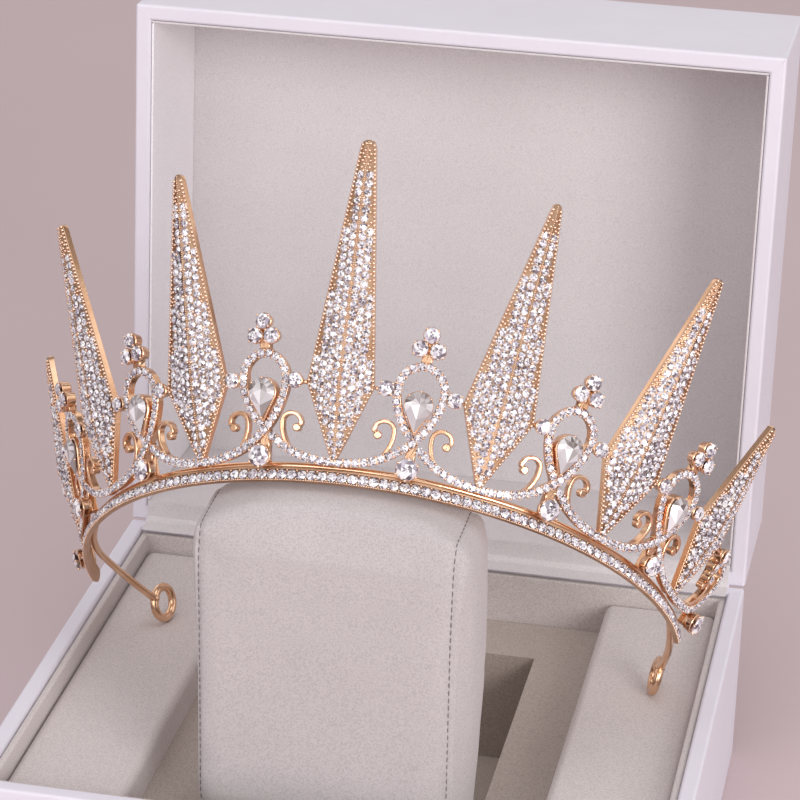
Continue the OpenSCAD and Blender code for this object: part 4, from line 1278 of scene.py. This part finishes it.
skin = skin_of(pillow)
seams = [[skin.ray_cast(start, ahead)[:2] for start, ahead in seam_rays(side)] for side in (-1, 1)]
pairs = [(a, b) for seam in seams for (a, _), (b, _) in zip(seam, seam[1:])]
on_seam = [a.lerp(b, t) for a, b in pairs for t in (0, 0.25, 0.5, 0.75)]
tree = KDTree(len(on_seam))
for number, place in enumerate(on_seam):
    tree.insert(place, number)
tree.balance()
points, outwards = places(pillow), skin_normals(pillow)
near = np.array([tree.find(p)[2] for p in points]) / MM
ripple = np.array([field.noise(Vector(p) * 60) + 0.5 * field.noise(Vector(p) * 140) for p in points])
calm = np.interp(points[:, 2] / MM, [FREE_FOOT, FREE_FOOT + 10, FREE_TOP - 8, FREE_TOP], [0, 1, 1, 0])
sink = SEAM_DEPTH * np.exp(-(near / SEAM_WIDTH) ** 2) + RIPPLE * calm * ripple
set_places(pillow, points - outwards * sink[:, None] * MM)
# The pillow's velvet is painted darker: painted shade.
kept_as(finished(pillow, SHADED_PILLOW_VELVET), "case", "velvet", "pillow")

# %% Stitches of the pillow
STITCH, STITCH_W, STITCH_PITCH, STITCH_SUNK = 1.5, 0.3, 2.0, SEAM_DEPTH - 0.08

stitch_rows = []
for seam in seams:
    steps = [(b - a).length for (a, _), (b, _) in zip(seam, seam[1:])]
    run = np.concatenate([[0], np.cumsum(steps)]) / MM
    line, facing = (np.array([v[k][:] for v in seam]) for k in (0, 1))
    for at in np.arange(1, run[-1] - 1, STITCH_PITCH):
        here, ahead = between(at, run, line), between(at + 0.5, run, line)
        out = unit(between(at, run, facing))
        stitch_rows.append((here - out * STITCH_SUNK * MM, out, unit(ahead - here), MM))
STITCH_SHAPE = bead("stitch", 1.0, 2)
for v in STITCH_SHAPE.data.vertices:
    v.co = (v.co.x * STITCH_W, v.co.y * STITCH, v.co.z * STITCH_W)
stitches = set_shapes("pillow_stitches", stitch_rows, STITCH_SHAPE, THREAD, seed=41)
bpy.data.objects.remove(STITCH_SHAPE)
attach(stitches, "case")

# %% [markdown]
# ## Camera, floor and light
#
# The camera's axes and place were solved from the box's edges in the photo. The floor is a plain pale
# plane. Three soft lamps light the scene, and a studio room around it is what the metal mirrors.

# %% Camera and floor
RIGHT, UP = Vector((0.97912, 0.20202, 0.02281)), Vector((-0.10335, 0.39796, 0.91156))
LOOK = Vector((-0.17508, 0.89488, -0.41053))
CAMERA_PLACE, LENS, SENSOR = (0.13896, -0.68986, 0.44498), 143.57, 36
FLOOR_HALF = 3

camera_data = bpy.data.cameras.new("camera")
camera_data.lens, camera_data.sensor_width = LENS, SENSOR
camera = bpy.data.objects.new("camera", camera_data)
camera.matrix_world = Matrix((RIGHT, UP, -LOOK)).transposed().to_4x4()
camera.location = CAMERA_PLACE
bpy.context.scene.collection.objects.link(camera)
bpy.context.scene.camera = camera

floor_corners = rectangle(-FLOOR_HALF, FLOOR_HALF, -FLOOR_HALF, FLOOR_HALF, 0)
floor = mesh_piece("floor", floor_corners, [(0, 1, 2, 3)])
floor_finish, floor_tree, floor_shader = material("pale floor", Roughness=0.7)
floor_tone = mottled(floor_tree, 3, 2, (0.62, 0.495, 0.51), (0.65, 0.525, 0.54))
floor_tree.links.new(floor_tone, floor_shader.inputs["Base Color"])
floor.data.materials.append(floor_finish)
print("camera:", camera.name, "floor:", floor.name)


# %% Light
def lamp(name, place, aim, size, power, colour=(1, 1, 1)):
    data = bpy.data.lights.new(name, "AREA")
    data.shape, data.size, data.energy, data.color = "DISK", size, power, colour
    light = bpy.data.objects.new(name, data)
    light.location = place
    light.rotation_euler = (Vector(aim) - Vector(place)).to_track_quat("-Z", "Y").to_euler()
    bpy.context.scene.collection.objects.link(light)


def studio_world(soft, mirrored):
    """An even pale room. Polished metal mirrors it with bright and dark parts, as a real room has.

    In a world, the Geometry node's Normal is the direction in the room, pointing inwards.
    """
    world = bpy.data.worlds.new("studio")
    world.use_nodes = True
    tree = world.node_tree
    even = tree.nodes["Background"]
    even.inputs["Color"].default_value = (0.95, 0.91, 0.92, 1)
    even.inputs["Strength"].default_value = soft
    where = add(tree, "ShaderNodeNewGeometry", "Normal")
    upwards = add(tree, "ShaderNodeSeparateXYZ", "Z", Vector=where)
    height = add(tree, "ShaderNodeMapRange", From_Min=1.0, From_Max=-1.0, Value=upwards)
    lit = ramp(tree, height, [(0.49, (0.13, 0.10, 0.09)), (0.56, (1.0, 0.97, 0.95)),
                              (0.84, (1.0, 0.97, 0.95)), (0.92, (0.28, 0.26, 0.26))])
    pattern = add(tree, "ShaderNodeTexNoise", Scale=2.6, Vector=where)
    uneven = ramp(tree, pattern, [(0.39, (0.45, 0.42, 0.40)), (0.52, (1.0, 1.0, 1.0))])
    room = add(tree, "ShaderNodeBackground", Strength=mirrored, Color=multiplied(tree, lit, uneven))
    mix = tree.nodes.new("ShaderNodeMixShader")
    tree.links.new(add(tree, "ShaderNodeLightPath", "Is Glossy Ray"), mix.inputs["Fac"])
    tree.links.new(even.outputs["Background"], mix.inputs[1])
    tree.links.new(room, mix.inputs[2])
    tree.links.new(mix.outputs["Shader"], tree.nodes["World Output"].inputs["Surface"])
    bpy.context.scene.world = world


lamp("key", (1.05, -1.2, 0.65), (0, 0.05, 0.09), 0.8, 13.3, (1, 0.985, 0.965))
lamp("front", (-0.45, -1.5, 0.9), (0, 0, 0.09), 1.2, 6.5, (0.98, 0.98, 1))
lamp("top", (0.1, -0.2, 1.5), (0, 0, 0.1), 1.0, 3.5)
studio_world(0.6, 1.22)
bpy.context.scene.view_settings.view_transform = "Standard"
print("world:", bpy.context.scene.world.name)
